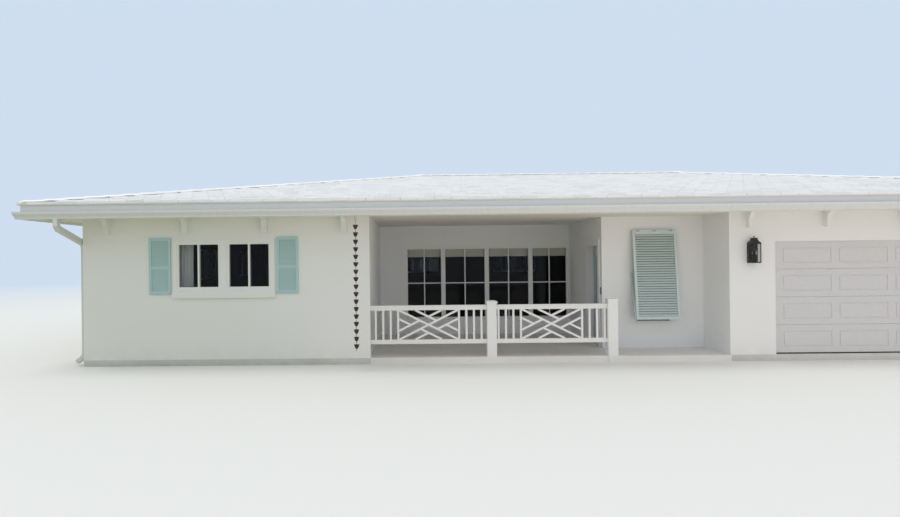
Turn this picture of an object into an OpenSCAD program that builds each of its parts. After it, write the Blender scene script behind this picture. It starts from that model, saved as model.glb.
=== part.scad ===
// Single-storey hip-roofed bungalow with a recessed porch, full size, in millimetres.
// +X runs along the front to the right, +Y runs into the house, +Z is up, and z = 0 is the ground.

/* [House] */
// Width of the wing left of the porch
left_wing_w = 5490; // [5000:10:7000]
// Width of the deep part of the porch
porch_w = 4720; // [4400:10:6000]
// Width of the shallow entry beside the porch
entry_w = 2085; // [1900:5:3000]
// Width of the garage end
garage_w = 8485; // [7000:5:11000]
// Depth of the house, front wall to back wall
house_d = 13140; // [10000:10:16000]
// Depth of the porch behind the front wall
porch_d = 3570; // [3000:10:4500]
// Depth of the entry behind the front wall
entry_d = 1020; // [900:10:1300]
// Thickness of a masonry wall
wall_t = 200; // [150:5:250]
// Height from the floor to the soffit
wall_h = 2700; // [2500:10:3300]
// Height of the floor above the ground
floor_h = 120; // [80:5:300]
// How far the entry slab stands in front of the front wall
step_d = 40; // [20:10:650]

/* [Roof] */
// Rise of the roof for each unit of run
roof_pitch = 0.194; // [0.15:0.002:0.35]
// Soffit width, wall face to the outer face of the fascia
soffit_w = 690; // [500:10:900]
// How far the tiles reach past the fascia
tile_over = 66; // [60:1:100]
// Height of the tile edge above the soffit
tile_edge_h = 255; // [225:5:300]
// Thickness of the roof slab, measured straight down
roof_t = 110; // [90:5:140]
// Thickness of a tile at its lower edge
tile_butt = 28; // [15:1:40]
// Length of tile that shows in one course, as near as fits
tile_course = 340; // [280:5:420]
// Thickness of the ceiling and soffit boards
ceiling_t = 20; // [12:1:40]
// Thickness of the fascia
fascia_t = 20; // [15:1:30]
// How far the fascia reaches below the soffit
fascia_drop = 50; // [45:5:100]
// Half width of a ridge or hip cap
cap_half_w = 150; // [100:5:200]
// Height of a cap over the tiles
cap_h = 40; // [25:1:60]
// Joint between the ridge caps and the hip caps
cap_joint = 1; // [0.5:0.5:5]

/* [Gutters] */
// Width of the gutter
gutter_w = 125; // [100:5:150]
// Height of the gutter
gutter_h = 130; // [110:5:180]
// Thickness of the gutter sheet
gutter_t = 3; // [2:0.5:4]
// Width of a downspout, along the wall it stands on
spout_w = 102; // [60:2:120]
// Depth of a downspout, out from that wall
spout_d = 76; // [50:2:90]
// Distance of a downspout's centre behind the front or back wall face
spout_in = 150; // [120:10:400]
// Thickness of the strap blocks behind a downspout
strap_t = 15; // [5:1:30]
// Height of a strap block
strap_h = 30; // [20:1:50]
// How far a strap block stands out beside the downspout
strap_out = 15; // [5:1:40]
// Height that the diagonal of a downspout drops
spout_drop = 265; // [200:5:600]
// Height of the bend at the downspout's foot above the ground
spout_foot = 190; // [150:5:400]
// Height of the neck under the gutter, down to the downspout's upper bend
spout_neck = 160; // [80:5:300]
// Number of cups on the rain chain
chain_cups = 17; // [8:1:20]
// Distance between cups
chain_pitch = 133; // [110:1:140]
// Distance from the gutter to the rim of the first cup
chain_hang = 170; // [100:5:300]
// Mouth diameter of a cup
cup_d = 98; // [60:1:110]
// Height of a cup
cup_h = 74; // [60:1:100]
// Thickness of a cup's wall
cup_t = 2.5; // [1.5:0.5:4]
// Diameter of the rod that the cups hang on
chain_d = 6; // [4:1:10]
// Distance of the rain chain left of the porch opening
chain_in = 190; // [100:5:400]

/* [Brackets] */
// Width of an eave bracket
bracket_w = 98; // [80:1:200]
// Height of an eave bracket
bracket_h = 300; // [200:5:400]
// Projection of an eave bracket
bracket_d = 265; // [200:5:450]
// Depth of the bracket's leg on the wall
bracket_leg = 110; // [80:5:160]
// Thickness of the bracket's tip under the soffit
bracket_tip = 12; // [8:1:60]
// Distance from the left wing's end to its first bracket's centre
wing_bracket_in = 487; // [300:1:700]
// Distance between bracket centres on the left wing
wing_bracket_pitch = 1507; // [1200:1:1800]
// Distance from the garage corner to its first bracket's centre
garage_bracket_in = 365; // [300:1:700]
// Distance between bracket centres on the garage
garage_bracket_pitch = 1455; // [1200:1:1800]

/* [Windows] */
// Width of a twin window's opening
twin_w = 1810; // [1600:10:2100]
// Height of a twin window's opening
twin_h = 900; // [800:5:1200]
// Height of a twin window's opening above the floor
twin_z = 1338; // [1000:1:1500]
// Distance of the front twin window's centre from the left end of the house
twin_in = 2708; // [2500:1:3500]
// Width of the post between the two halves of a twin window
twin_post = 120; // [110:5:260]
// Width of the casing beside a window
casing_w = 68; // [50:2:120]
// Height of the casing over a window
casing_top = 60; // [30:1:120]
// Height of the casing under a window, above the sill
casing_foot = 34; // [10:1:120]
// Thickness of the casing on the wall face
casing_t = 25; // [15:1:40]
// How far a casing laps over the frame behind it
casing_lap = 10; // [6:1:20]
// How far the frame's face lies behind the casing's face
frame_set = 12; // [5:1:20]
// Height of the sill under a casing
sill_h = 130; // [30:1:160]
// How far the sill reaches past the casing at each end
sill_over = 13; // [0:1:40]
// How far the sill stands out past the casing
sill_out = 30; // [10:1:60]
// Width of a window frame bar
frame_w = 45; // [30:1:60]
// Width of the bar where the panes of a slider meet
meeting_w = 34; // [20:1:50]
// Depth of a window frame
frame_d = 80; // [60:5:110]
// Thickness of the glass
glass_t = 6; // [4:1:12]
// Width of the porch window row
porch_win_w = 4060; // [3600:10:4200]
// Height of the porch window row
porch_win_h = 1790; // [1500:10:2000]
// Height of the porch window row above the floor
porch_win_z = 375; // [300:5:500]
// Gap between the porch window row and the door wall
porch_win_gap = 20; // [15:5:150]
// Width of the glass in the two end units of the porch window row
porch_end_unit_w = 840; // [600:10:950]
// Width of a post between the porch windows
mullion_w = 105; // [80:5:140]
// Width of a glazing bar
muntin_w = 25; // [15:1:40]
// Width of the entry window's opening
entry_win_w = 640; // [560:10:760]
// Height of the entry window's opening
entry_win_h = 1700; // [1400:10:1750]
// Height of the entry window's opening above the floor
entry_win_z = 550; // [500:10:700]
// Distance of the entry window's centre from the entry wall's left end
entry_win_in = 1050; // [900:10:1200]
// How far the entry window's sill reaches past the opening at each side
entry_sill_over = 20; // [0:1:60]
// Height of the entry window's sill
entry_sill_h = 65; // [40:1:100]
// How far the entry window's sill stands out from the wall
entry_sill_out = 40; // [20:1:80]

/* [Shutters] */
// Width of a louvred shutter
shutter_w = 412; // [350:1:500]
// Height of a louvred shutter
shutter_h = 1080; // [1000:5:1400]
// Thickness of a shutter
shutter_t = 32; // [25:1:45]
// Width of a shutter stile
stile_w = 48; // [35:1:70]
// Height of a shutter rail
shutter_rail = 60; // [40:1:90]
// Gap between a louvred shutter and the window's casing
shutter_gap = 40; // [5:1:60]
// How far a louvred shutter's middle rail lies below its centre
mid_rail_drop = 35; // [0:5:150]
// Slope of the slats
slat_tilt = 50; // [35:1:60]
// Distance between the slats of a louvred shutter, as near as fits
louvre_pitch = 32; // [28:1:50]
// Distance between the slats of the Bahama shutter, as near as fits
bahama_pitch = 50; // [44:1:70]
// Width of the Bahama shutter
bahama_w = 885; // [800:1:1000]
// Length of the Bahama shutter along its slope
bahama_l = 1797; // [1700:1:2000]
// How far the foot of the Bahama shutter stands off the wall
bahama_off = 190; // [120:10:350]
// Height of its hinge above the floor
bahama_z = 2387; // [2300:1:2550]
// Width of a prop that holds it open
prop_w = 22; // [15:1:35]
// Distance of the props' wall plates below the hinge
prop_drop = 900; // [700:10:1100]

/* [Front door] */
// Width of the door opening in the wall
door_open_w = 906; // [850:2:1050]
// Height of the door opening in the wall
door_open_h = 2170; // [2050:5:2300]
// Thickness of the door frame
door_frame_t = 40; // [30:1:50]
// Thickness of the door leaf
leaf_t = 45; // [38:1:50]
// Gap between the leaf and its frame
leaf_gap = 7; // [6.5:0.5:9]
// How far the door stop stands in from the frame
stop_w = 13; // [10:1:16]
// Height of the threshold
threshold_h = 14; // [8:1:20]
// Radius of a hinge barrel
barrel_r = 7; // [6:0.5:10]
// Width of the glass in the leaf
lite_w = 520; // [300:10:600]
// Height of the glass in the leaf
lite_h = 1600; // [1200:10:1750]
// Height of the leaf's bottom rail
lite_foot = 300; // [200:5:320]
// Height of the lever handle above the floor
handle_z = 1000; // [900:10:1100]
// Distance of the lever handle from the leaf's free edge
handle_in = 70; // [60:1:90]

/* [Railing] */
// Height of the railing above the floor
rail_h = 985; // [900:5:1100]
// Height of the lower rail's underside above the floor
rail_gap = 250; // [80:5:300]
// Depth of the top rail seen from the front
top_rail_h = 92; // [50:2:110]
// Depth of the lower rail seen from the front
low_rail_h = 82; // [40:2:100]
// Thickness of the rails, front to back
rail_t = 60; // [45:1:90]
// Width of a baluster or lattice bar
bar_w = 38; // [30:1:60]
// Thickness of a baluster or lattice bar
bar_t = 40; // [30:1:50]
// Distance between baluster centres
bar_pitch = 143; // [120:1:160]
// Balusters on each side of a lattice panel
bars_beside = 3; // [1:1:3]
// Distance between the centres of a lattice panel's stiles
lattice_w = 1165; // [900:5:1300]
// Distance of the newel post from the left end of the railing
newel_in = 2225; // [1700:5:2600]
// Width of the newel post
newel_w = 180; // [120:5:220]
// Width of the newel post's cap
newel_cap_w = 214; // [160:2:280]
// Width of the end pier
pier_w = 184; // [150:2:250]
// Height of the end pier above the floor
pier_h = 1080; // [950:5:1200]
// Distance of the end pier's right face left of the entry wall's edge
pier_in = 20; // [0:1:200]

/* [Garage door] */
// Width of the garage door
gdoor_w = 5490; // [4000:10:5600]
// Height of the garage door
gdoor_h = 2134; // [2000:2:2400]
// Distance from the garage corner to the door
gdoor_in = 860; // [700:10:1500]
// How deep the door sits behind the wall face
gdoor_recess = 60; // [20:5:120]
// Thickness of the garage door
gdoor_t = 50; // [40:1:60]
// Number of door sections
gdoor_rows = 4; // [3:1:5]
// Number of raised panels in a section
gdoor_cols = 5; // [2:1:8]
// Distance from the door's side to its first raised panel
panel_end = 172; // [60:1:250]
// Distance between raised panels
panel_gap = 140; // [60:1:250]
// Distance from a section's top or foot to its raised panel
panel_margin_h = 115; // [60:1:130]
// Width of the groove round a raised panel
panel_groove = 22; // [12:1:40]
// Height of the rubber seal under the door
seal_h = 25; // [15:1:40]

/* [Lantern] */
// Width of the lantern
lantern_w = 176; // [140:2:300]
// Height of the lantern's cage
lantern_h = 375; // [300:5:450]
// Depth of the lantern
lantern_d = 175; // [130:5:250]
// Height of the cage's foot above the floor
lantern_z = 1730; // [1600:10:1900]
// Distance of the lantern's centre from the garage corner
lantern_in = 412; // [350:1:560]
// Height of the lantern's roof
lantern_roof_h = 95; // [60:5:140]
// Width of the lantern's back plate
lantern_plate_w = 110; // [90:5:170]
// Thickness of the lantern's corner posts
lantern_post = 14; // [8:1:20]

/* [Hidden] */

// Fine step that makes a cut run clean through a face
eps = 1;

// Footprint
house_w = left_wing_w + porch_w + entry_w + garage_w;
x_left = -house_w / 2;
x_right = house_w / 2;
x_porch = x_left + left_wing_w;
x_entry = x_porch + porch_w;
x_garage = x_entry + entry_w;
y_front = -house_d / 2;
y_back = house_d / 2;
y_entry = y_front + entry_d;
y_porch = y_front + porch_d;
z_soffit = floor_h + wall_h;

// Eaves, with distances measured outwards from the wall face
tile_reach = soffit_w + tile_over;
gutter_reach = soffit_w + gutter_w;
z_tile_edge = z_soffit + tile_edge_h;
z_gutter = z_soffit - fascia_drop + 10;
gutter_gap = 10;
nose_t = 45;
nose_in = 35;
gutter_hem = 15;
gutter_outlet = soffit_w + 0.45 * gutter_w;
roof_run = house_d / 2 + tile_reach;
courses = round(roof_run / tile_course);
course_run = roof_run / courses;
ridge_half = (house_w - house_d) / 2;
function tile_z(reach) = z_tile_edge + roof_pitch * (tile_reach - reach);

// Front door leaf, hung on the side of the opening that is farther from the street
leaf_w = door_open_w - 2 * door_frame_t - 2 * leaf_gap;
leaf_h = door_open_h - door_frame_t - threshold_h - 2 * leaf_gap;
z_leaf = floor_h + threshold_h + leaf_gap;
y_door = y_entry + wall_t;
y_hinge = y_door + door_open_w - door_frame_t - leaf_gap;
x_leaf = x_entry + wall_t - leaf_t;

// Railing, in the middle of the wall's thickness
y_rail = y_front + wall_t / 2;
lattice_t = bar_t - 6;
x_pier = x_entry - pier_in - pier_w;
x_newel = x_porch + newel_in;

// Twin windows in the walls that the street doesn't show: centre along the wall
side_windows = [0.2, 0.5, 0.8];
back_windows = [0.12, 0.31, 0.5, 0.69, 0.88];

// Places a section drawn with x = distance out from the wall face and y = height along one side of the house.
// Sides count from the front: 0 front, 1 right, 2 back, 3 left. The ends are mitred over the hips.
module along_side(side) {
    face = side % 2 == 0 ? house_d / 2 : house_w / 2;
    length = side % 2 == 0 ? house_w : house_d;
    depth = min(face, length / 2);
    out = 1000;
    inner = side % 2 == 0
        ? [[length / 2 - depth, depth - face], [depth - length / 2, depth - face]]
        : [[0, depth - face]];
    rotate([0, 0, 90 * side])
        intersection() {
            translate([0, -face, 0])
                rotate([90, 0, -90])
                    linear_extrude(length + 2 * out, center = true)
                        children();
            linear_extrude(3 * z_soffit)
                polygon(concat(
                    [[-length / 2 - out, -face - out], [length / 2 + out, -face - out]],
                    inner));
        }
}

// Box from one corner to the opposite one
module block(from, to) {
    translate(from)
        cube(to - from);
}

// Floors

// Outline of the walls on the ground, less the porch and the entry
module house_plan() {
    difference() {
        translate([x_left, y_front])
            square([house_w, house_d]);
        translate([x_porch, y_front - eps])
            square([porch_w, porch_d + eps]);
        translate([x_entry - eps, y_front - eps])
            square([entry_w + eps, entry_d + eps]);
    }
}

module floor_slab() {
    color("gainsboro")
        linear_extrude(floor_h)
            house_plan();
}

module porch_slab() {
    color("lightgrey")
        linear_extrude(floor_h)
            union() {
                translate([x_porch, y_front])
                    square([porch_w, porch_d]);
                translate([x_pier, y_front - step_d])
                    square([x_garage - x_pier, entry_d + step_d]);
            }
}

// Walls

// Opening through a wall that runs along X, from its centre, width, height above the floor and height
module hole_x(x, y, w, z, h) {
    block([x - w / 2, y - eps, floor_h + z], [x + w / 2, y + wall_t + eps, floor_h + z + h]);
}

// The same through a wall that runs along Y
module hole_y(x, y, w, z, h) {
    block([x - eps, y - w / 2, floor_h + z], [x + wall_t + eps, y + w / 2, floor_h + z + h]);
}

x_twin = x_left + twin_in;
x_porch_win = x_entry - porch_win_gap - porch_win_w / 2;
x_entry_win = x_entry + entry_win_in;
porch_mid_unit_w = (porch_win_w - 2 * frame_w - 3 * mullion_w) / 2 - porch_end_unit_w;
porch_units = [porch_end_unit_w, porch_mid_unit_w, porch_mid_unit_w, porch_end_unit_w];
porch_unit_h = porch_win_h - 2 * frame_w;

module left_wing_front_wall() {
    color("white")
        difference() {
            block([x_left, y_front, floor_h], [x_porch, y_front + wall_t, z_soffit]);
            hole_x(x_twin, y_front, twin_w, twin_z, twin_h);
        }
}

module porch_return_wall() {
    color("white")
        block([x_porch - wall_t, y_front + wall_t, floor_h], [x_porch, y_porch, z_soffit]);
}

module porch_back_wall() {
    color("white")
        difference() {
            block([x_porch - wall_t, y_porch, floor_h], [x_entry + wall_t, y_porch + wall_t, z_soffit]);
            hole_x(x_porch_win, y_porch, porch_win_w, porch_win_z, porch_win_h);
        }
}

module door_wall() {
    color("white")
        block([x_entry, y_door + door_open_w, floor_h], [x_entry + wall_t, y_porch, z_soffit]);
}

module door_lintel() {
    color("white")
        block([x_entry, y_door, floor_h + door_open_h],
              [x_entry + wall_t, y_door + door_open_w, z_soffit]);
}

module entry_wall() {
    color("white")
        difference() {
            block([x_entry, y_entry, floor_h], [x_garage + wall_t, y_entry + wall_t, z_soffit]);
            hole_x(x_entry_win, y_entry, entry_win_w, entry_win_z, entry_win_h);
        }
}

module garage_return_wall() {
    color("white")
        block([x_garage, y_front + wall_t, floor_h], [x_garage + wall_t, y_entry, z_soffit]);
}

module garage_front_wall() {
    color("white")
        difference() {
            block([x_garage, y_front, floor_h], [x_right, y_front + wall_t, z_soffit]);
            block([x_garage + gdoor_in, y_front - eps, floor_h - eps],
                  [x_garage + gdoor_in + gdoor_w, y_front + wall_t + eps, floor_h + gdoor_h]);
        }
}

module side_wall(x) {
    color("white")
        difference() {
            block([x, y_front + wall_t, floor_h], [x + wall_t, y_back - wall_t, z_soffit]);
            for (s = side_windows)
                hole_y(x, y_front + s * house_d, twin_w, twin_z, twin_h);
        }
}

module left_wall() {
    side_wall(x_left);
}

module right_wall() {
    side_wall(x_right - wall_t);
}

module back_wall() {
    color("white")
        difference() {
            block([x_left, y_back - wall_t, floor_h], [x_right, y_back, z_soffit]);
            for (s = back_windows)
                hole_x(x_left + s * house_w, y_back - wall_t, twin_w, twin_z, twin_h);
        }
}

// Ceilings and eaves

module house_ceiling() {
    color("white")
        translate([0, 0, z_soffit])
            linear_extrude(ceiling_t)
                house_plan();
}

module soffit() {
    inner = soffit_w - fascia_t;
    color("white")
        translate([0, 0, z_soffit])
            linear_extrude(ceiling_t)
                difference() {
                    translate([x_left - inner, y_front - inner])
                        square([house_w + 2 * inner, house_d + 2 * inner]);
                    house_plan();
                }
}

module fascia_section() {
    inner = soffit_w - fascia_t;
    polygon([
        [inner, z_soffit - fascia_drop],
        [soffit_w, z_soffit - fascia_drop],
        [soffit_w, tile_z(soffit_w) - roof_t],
        [inner, tile_z(inner) - roof_t]
    ]);
}

module fascia() {
    color("white")
        union() {
            for (side = [0 : 3])
                along_side(side)
                    fascia_section();
        }
}

// Section of one roof slope, with the tile courses as steps and the closure strip under the tile nose
module roof_section() {
    closure = tile_reach - nose_in;
    polygon(concat(
        [
            [-house_d / 2, tile_z(-house_d / 2) - roof_t],
            [soffit_w, tile_z(soffit_w) - roof_t],
            [soffit_w, z_gutter + gutter_h + gutter_gap],
            [closure, z_gutter + gutter_h + gutter_gap],
            [closure, z_tile_edge - nose_t],
            [tile_reach, z_tile_edge - nose_t],
            [tile_reach, z_tile_edge]
        ],
        [
            for (i = [1 : courses], top = i < courses ? [0, 1] : [0])
                let (reach = tile_reach - i * course_run)
                [reach, tile_z(reach) - (1 - top) * tile_butt]
        ]));
}

module roof_slope(side) {
    color("ghostwhite")
        along_side(side)
            roof_section();
}

module roof_front() {
    roof_slope(0);
}

module roof_right() {
    roof_slope(1);
}

module roof_back() {
    roof_slope(2);
}

module roof_left() {
    roof_slope(3);
}

// Caps

// Section of a cap whose underside falls away at the given slope on both sides
module cap_section(slope) {
    edge = -slope * cap_half_w;
    crown = cap_half_w / 4;
    polygon([
        [0, 0],
        [cap_half_w, edge],
        [cap_half_w, edge + cap_h * 0.6],
        [crown, cap_h - slope * crown * 0.4],
        [0, cap_h],
        [-crown, cap_h - slope * crown * 0.4],
        [-cap_half_w, edge + cap_h * 0.6],
        [-cap_half_w, edge]
    ]);
}

// Wedge of ground plan that one cap keeps where ridge and hips meet, between two directions
module wedge(from, to, reach) {
    linear_extrude(3 * z_soffit)
        polygon([
            [0, 0],
            reach * [cos(from), sin(from)],
            2 * reach * [cos((from + to) / 2), sin((from + to) / 2)],
            reach * [cos(to), sin(to)]
        ]);
}

module ridge_caps() {
    side = 2 * cap_half_w;
    end = side * tan(22.5);
    color("ghostwhite")
        intersection() {
            translate([0, 0, tile_z(-house_d / 2)])
                rotate([90, 0, 90])
                    linear_extrude(2 * ridge_half + 4 * cap_half_w, center = true)
                        cap_section(roof_pitch);
            linear_extrude(3 * z_soffit)
                polygon([
                    [-ridge_half, 0],
                    [-ridge_half + end, -side],
                    [ridge_half - end, -side],
                    [ridge_half, 0],
                    [ridge_half - end, side],
                    [-ridge_half + end, side]
                ]);
        }
}

// One hip cap, from the right-hand ridge end down to the front right corner
module hip_cap() {
    slope = roof_pitch / sqrt(2);
    run = sqrt(2) * roof_run;
    translate([ridge_half, 0, 0])
        intersection() {
            translate([0, 0, tile_z(-house_d / 2)])
                rotate([0, 0, -45])
                    multmatrix([[1, 0, 0, 0], [0, 1, 0, 0], [-slope, 0, 1, 0], [0, 0, 0, 1]])
                        rotate([90, 0, 90])
                            translate([0, 0, -cap_half_w])
                                linear_extrude(run + cap_half_w)
                                    cap_section(slope);
            translate([cap_joint, 0, 0])
                wedge(-112.5, 0, 3 * run);
            block([-run, -roof_run, 0], [roof_run, eps, 3 * z_soffit]);
        }
}

module hip_caps() {
    color("ghostwhite")
        for (m = [0, 1], n = [0, 1])
            mirror([m, 0, 0])
                mirror([0, n, 0])
                    hip_cap();
}

// Gutters and rainwater pieces

function reversed(points) = [for (i = [len(points) - 1 : -1 : 0]) points[i]];

// Line of the gutter sheet from its back edge round to its front lip, moved inwards by inset
function gutter_path(inset) =
    let (
        back = soffit_w + inset,
        front = soffit_w + gutter_w - inset,
        foot = soffit_w + 0.75 * gutter_w - inset,
        top = z_gutter + gutter_h
    )
    concat(
        [[back, top], [back, z_gutter + inset], [foot, z_gutter + inset]],
        [
            for (s = [0 : 0.125 : 1])
                [foot + (front - foot) * (1 - cos(180 * s)) / 2, z_gutter + gutter_h * (0.12 + 0.66 * s)]
        ],
        [[front, top]]);

module gutter(side) {
    color("white")
        along_side(side)
            union() {
                polygon(concat(gutter_path(0), reversed(gutter_path(gutter_t))));
                translate([gutter_reach - gutter_hem, z_gutter + gutter_h - gutter_t])
                    square([gutter_hem, gutter_t]);
            }
}

module gutter_front() {
    gutter(0);
}

module gutter_right() {
    gutter(1);
}

module gutter_back() {
    gutter(2);
}

module gutter_left() {
    gutter(3);
}

// Outline of a band of the given width along a path, mitred at its bends
function band(path, width) =
    let (
        last = len(path) - 1,
        dirs = [for (i = [0 : last - 1]) (path[i + 1] - path[i]) / norm(path[i + 1] - path[i])],
        offsets = [
            for (i = [0 : last])
                let (
                    a = dirs[max(i - 1, 0)],
                    b = dirs[min(i, last - 1)],
                    n = [-a[1] - b[1], a[0] + b[0]]
                )
                n * width / (n * [-a[1], a[0]]) / 2
        ]
    )
    concat([for (i = [0 : last]) path[i] + offsets[i]], [for (i = [last : -1 : 0]) path[i] - offsets[i]]);

// Path with each inner point replaced by two, a set distance before and after it
function eased(path, cut) =
    let (last = len(path) - 1)
    [
        for (i = [0 : last])
            each i == 0 || i == last
                ? [path[i]]
                : [
                    path[i] + cut * (path[i - 1] - path[i]) / norm(path[i - 1] - path[i]),
                    path[i] + cut * (path[i + 1] - path[i]) / norm(path[i + 1] - path[i])
                ]
    ];

// Downspout on a wall that faces +X, with its wall face at x = 0 and the front wall face at y = 0.
// It leaves the front gutter, slopes back to the side wall and turns out from the wall at its foot.
module downspout() {
    mouth_out = 150;
    mouth_drop = 115;
    corner = 45;
    shoe = 220;
    lap = 100;
    strap_in = 220;
    top = [-gutter_outlet, z_gutter];
    bend = [top[0], z_gutter - spout_neck];
    wall = [spout_in, bend[1] - spout_drop];
    mid = strap_t + spout_d / 2;
    translate([mid, 0, 0])
        rotate([90, 0, 90])
            linear_extrude(spout_d, center = true)
                polygon(band(eased([top, bend, wall, [spout_in, spout_foot + lap]], corner), spout_w));
    translate([mid, spout_in, spout_foot])
        rotate([90, 0, 0])
            linear_extrude(spout_w, center = true)
                polygon(band(eased([[0, shoe], [0, 0], [mouth_out, -mouth_drop]], corner), spout_d));
    for (z = [spout_foot + strap_in, (spout_foot + wall[1]) / 2, wall[1] - strap_in])
        block([0, spout_in - spout_w / 2 - strap_out, z],
              [strap_t + eps, spout_in + spout_w / 2 + strap_out, z + strap_h]);
}

module downspouts() {
    color("white")
        for (m = [0, 1], n = [0, 1])
            mirror([m, 0, 0])
                mirror([0, n, 0])
                    translate([x_right, y_front, 0])
                        downspout();
}

// One cup of the rain chain, open at the top, with its rim at z = 0
module chain_cup() {
    mouth = cup_d / 2;
    belly = 0.84 * mouth;
    foot = 0.4 * mouth;
    z_belly = -0.35 * cup_h;
    rotate_extrude($fn = 48)
        polygon([
            [0, -cup_h],
            [foot, -cup_h],
            [belly, z_belly],
            [mouth, 0],
            [mouth - cup_t, 0],
            [belly - cup_t, z_belly],
            [foot - cup_t, cup_t - cup_h],
            [0, cup_t - cup_h]
        ]);
}

// Chain that hangs from the gutter's outlet, a plain rod here, with its cups
module rain_chain() {
    length = chain_hang + chain_cups * chain_pitch;
    color("saddlebrown")
        translate([x_porch - chain_in, y_front - gutter_outlet, z_gutter])
            union() {
                translate([0, 0, -length])
                    cylinder(h = length, d = chain_d, $fn = 24);
                for (i = [0 : chain_cups - 1])
                    translate([0, 0, -chain_hang - i * chain_pitch])
                        chain_cup();
            }
}

// Bracket in the angle of a wall that faces -Y and the soffit, hollowed by a quarter round
module eave_bracket() {
    r = bracket_d - bracket_leg;
    translate([-bracket_w / 2, 0, 0])
        rotate([90, 0, 90])
            linear_extrude(bracket_w)
                difference() {
                    translate([-bracket_d, -bracket_h])
                        square([bracket_d, bracket_h]);
                    translate([-bracket_d, -bracket_tip - r])
                        circle(r = r, $fn = 96);
                    translate([-bracket_d - eps, -bracket_h - eps])
                        square([r + eps, bracket_h - bracket_tip - r + eps]);
                }
}

module bracket_row(x, length, margin, pitch) {
    count = floor((length - 2 * margin) / pitch + 0.1) + 1;
    for (i = [0 : count - 1])
        translate([x + margin + i * pitch, y_front, z_soffit])
            eave_bracket();
}

module eave_brackets() {
    color("white")
        union() {
            bracket_row(x_left, left_wing_w, wing_bracket_in, wing_bracket_pitch);
            bracket_row(x_garage, garage_w, garage_bracket_in, garage_bracket_pitch);
        }
}

// Windows

// Flat frame in the XZ plane with its front at y = 0, of the given panes across and up
module pane_frame(w, h, depth, edge, cols, rows, bar) {
    pane_w = (w - 2 * edge - (cols - 1) * bar) / cols;
    pane_h = (h - 2 * edge - (rows - 1) * bar) / rows;
    difference() {
        cube([w, depth, h]);
        for (i = [0 : cols - 1], j = [0 : rows - 1])
            translate([edge + i * (pane_w + bar), -eps, edge + j * (pane_h + bar)])
                cube([pane_w, depth + 2 * eps, pane_h]);
    }
}

// Casing on the wall face round an opening, with a sill under it
module casing(w, h) {
    difference() {
        translate([-casing_w, -casing_t, -casing_foot])
            cube([w + 2 * casing_w, casing_t, h + casing_foot + casing_top]);
        translate([casing_lap, -casing_t - eps, casing_lap])
            cube([w - 2 * casing_lap, casing_t + 2 * eps, h - 2 * casing_lap]);
    }
    translate([-casing_w - sill_over, -casing_t - sill_out, -casing_foot - sill_h])
        cube([w + 2 * casing_w + 2 * sill_over, casing_t + sill_out, sill_h]);
}

// Face of a twin window's frames, measured from the wall face
twin_front = frame_set - casing_t;

// Twin slider on a wall that faces -Y, its opening's lower left corner at the origin
module twin_window() {
    half = (twin_w - twin_post) / 2;
    casing(twin_w, twin_h);
    for (x = [0, half + twin_post])
        translate([x, twin_front, 0])
            pane_frame(half, twin_h, frame_d, frame_w, 2, 1, meeting_w);
    translate([half, -casing_t, 0])
        cube([twin_post, frame_set + frame_d, twin_h]);
}

module twin_glass() {
    half = (twin_w - twin_post) / 2;
    for (x = [0, half + twin_post])
        translate([x, twin_front, 0])
            glass_panes(half, twin_h, frame_d, frame_w, 2, 1, meeting_w);
}

// Panes that fill a pane_frame of the same sizes
module glass_panes(w, h, depth, edge, cols, rows, bar) {
    pane_w = (w - 2 * edge - (cols - 1) * bar) / cols;
    pane_h = (h - 2 * edge - (rows - 1) * bar) / rows;
    for (i = [0 : cols - 1], j = [0 : rows - 1])
        translate([edge + i * (pane_w + bar), depth / 2 - glass_t / 2, edge + j * (pane_h + bar)])
            cube([pane_w, glass_t, pane_h]);
}

// Places a twin window in the front wall and in the walls that the street doesn't show
module at_twin_windows() {
    translate([x_twin - twin_w / 2, y_front, floor_h + twin_z])
        children();
    for (s = side_windows, m = [0, 1])
        mirror([m, 0, 0])
            translate([x_right, y_front + s * house_d - twin_w / 2, floor_h + twin_z])
                rotate([0, 0, 90])
                    children();
    for (s = back_windows)
        translate([x_left + s * house_w + twin_w / 2, y_back, floor_h + twin_z])
            rotate([0, 0, 180])
                children();
}

module twin_window_frames() {
    color("white")
        at_twin_windows()
            twin_window();
}

// Left edge of one of the four units of the porch window row, from the left end of the row
function porch_unit_x(i) = i == 0 ? frame_w : porch_unit_x(i - 1) + porch_units[i - 1] + mullion_w;

// Places children at the lower left corner of one unit
module at_porch_unit(i) {
    translate([
        x_porch_win - porch_win_w / 2 + porch_unit_x(i),
        y_porch + wall_t / 2 - frame_d / 2,
        floor_h + porch_win_z + frame_w
    ])
        children();
}

module porch_window_frame() {
    color("white")
        union() {
            difference() {
                translate([x_porch_win - porch_win_w / 2, y_porch + wall_t / 2 - frame_d / 2,
                           floor_h + porch_win_z])
                    cube([porch_win_w, frame_d, porch_win_h]);
                for (i = [0 : 3])
                    at_porch_unit(i)
                        translate([0, -eps, 0])
                            cube([porch_units[i], frame_d + 2 * eps, porch_unit_h]);
            }
            for (i = [0 : 3])
                at_porch_unit(i)
                    translate([0, frame_d / 4, 0])
                        pane_frame(porch_units[i], porch_unit_h, frame_d / 2, eps, 2, 2, muntin_w);
        }
}

// Frame of two panes, one above the other, and the sill on the wall face under it
module entry_window_frame() {
    sill_w = entry_win_w + 2 * entry_sill_over;
    color("white")
        union() {
            translate([x_entry_win - entry_win_w / 2, y_entry + wall_t / 2 - frame_d / 2,
                       floor_h + entry_win_z])
                pane_frame(entry_win_w, entry_win_h, frame_d, frame_w, 1, 2, frame_w);
            translate([x_entry_win - sill_w / 2, y_entry - entry_sill_out,
                       floor_h + entry_win_z - entry_sill_h])
                cube([sill_w, entry_sill_out, entry_sill_h]);
        }
}

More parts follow.
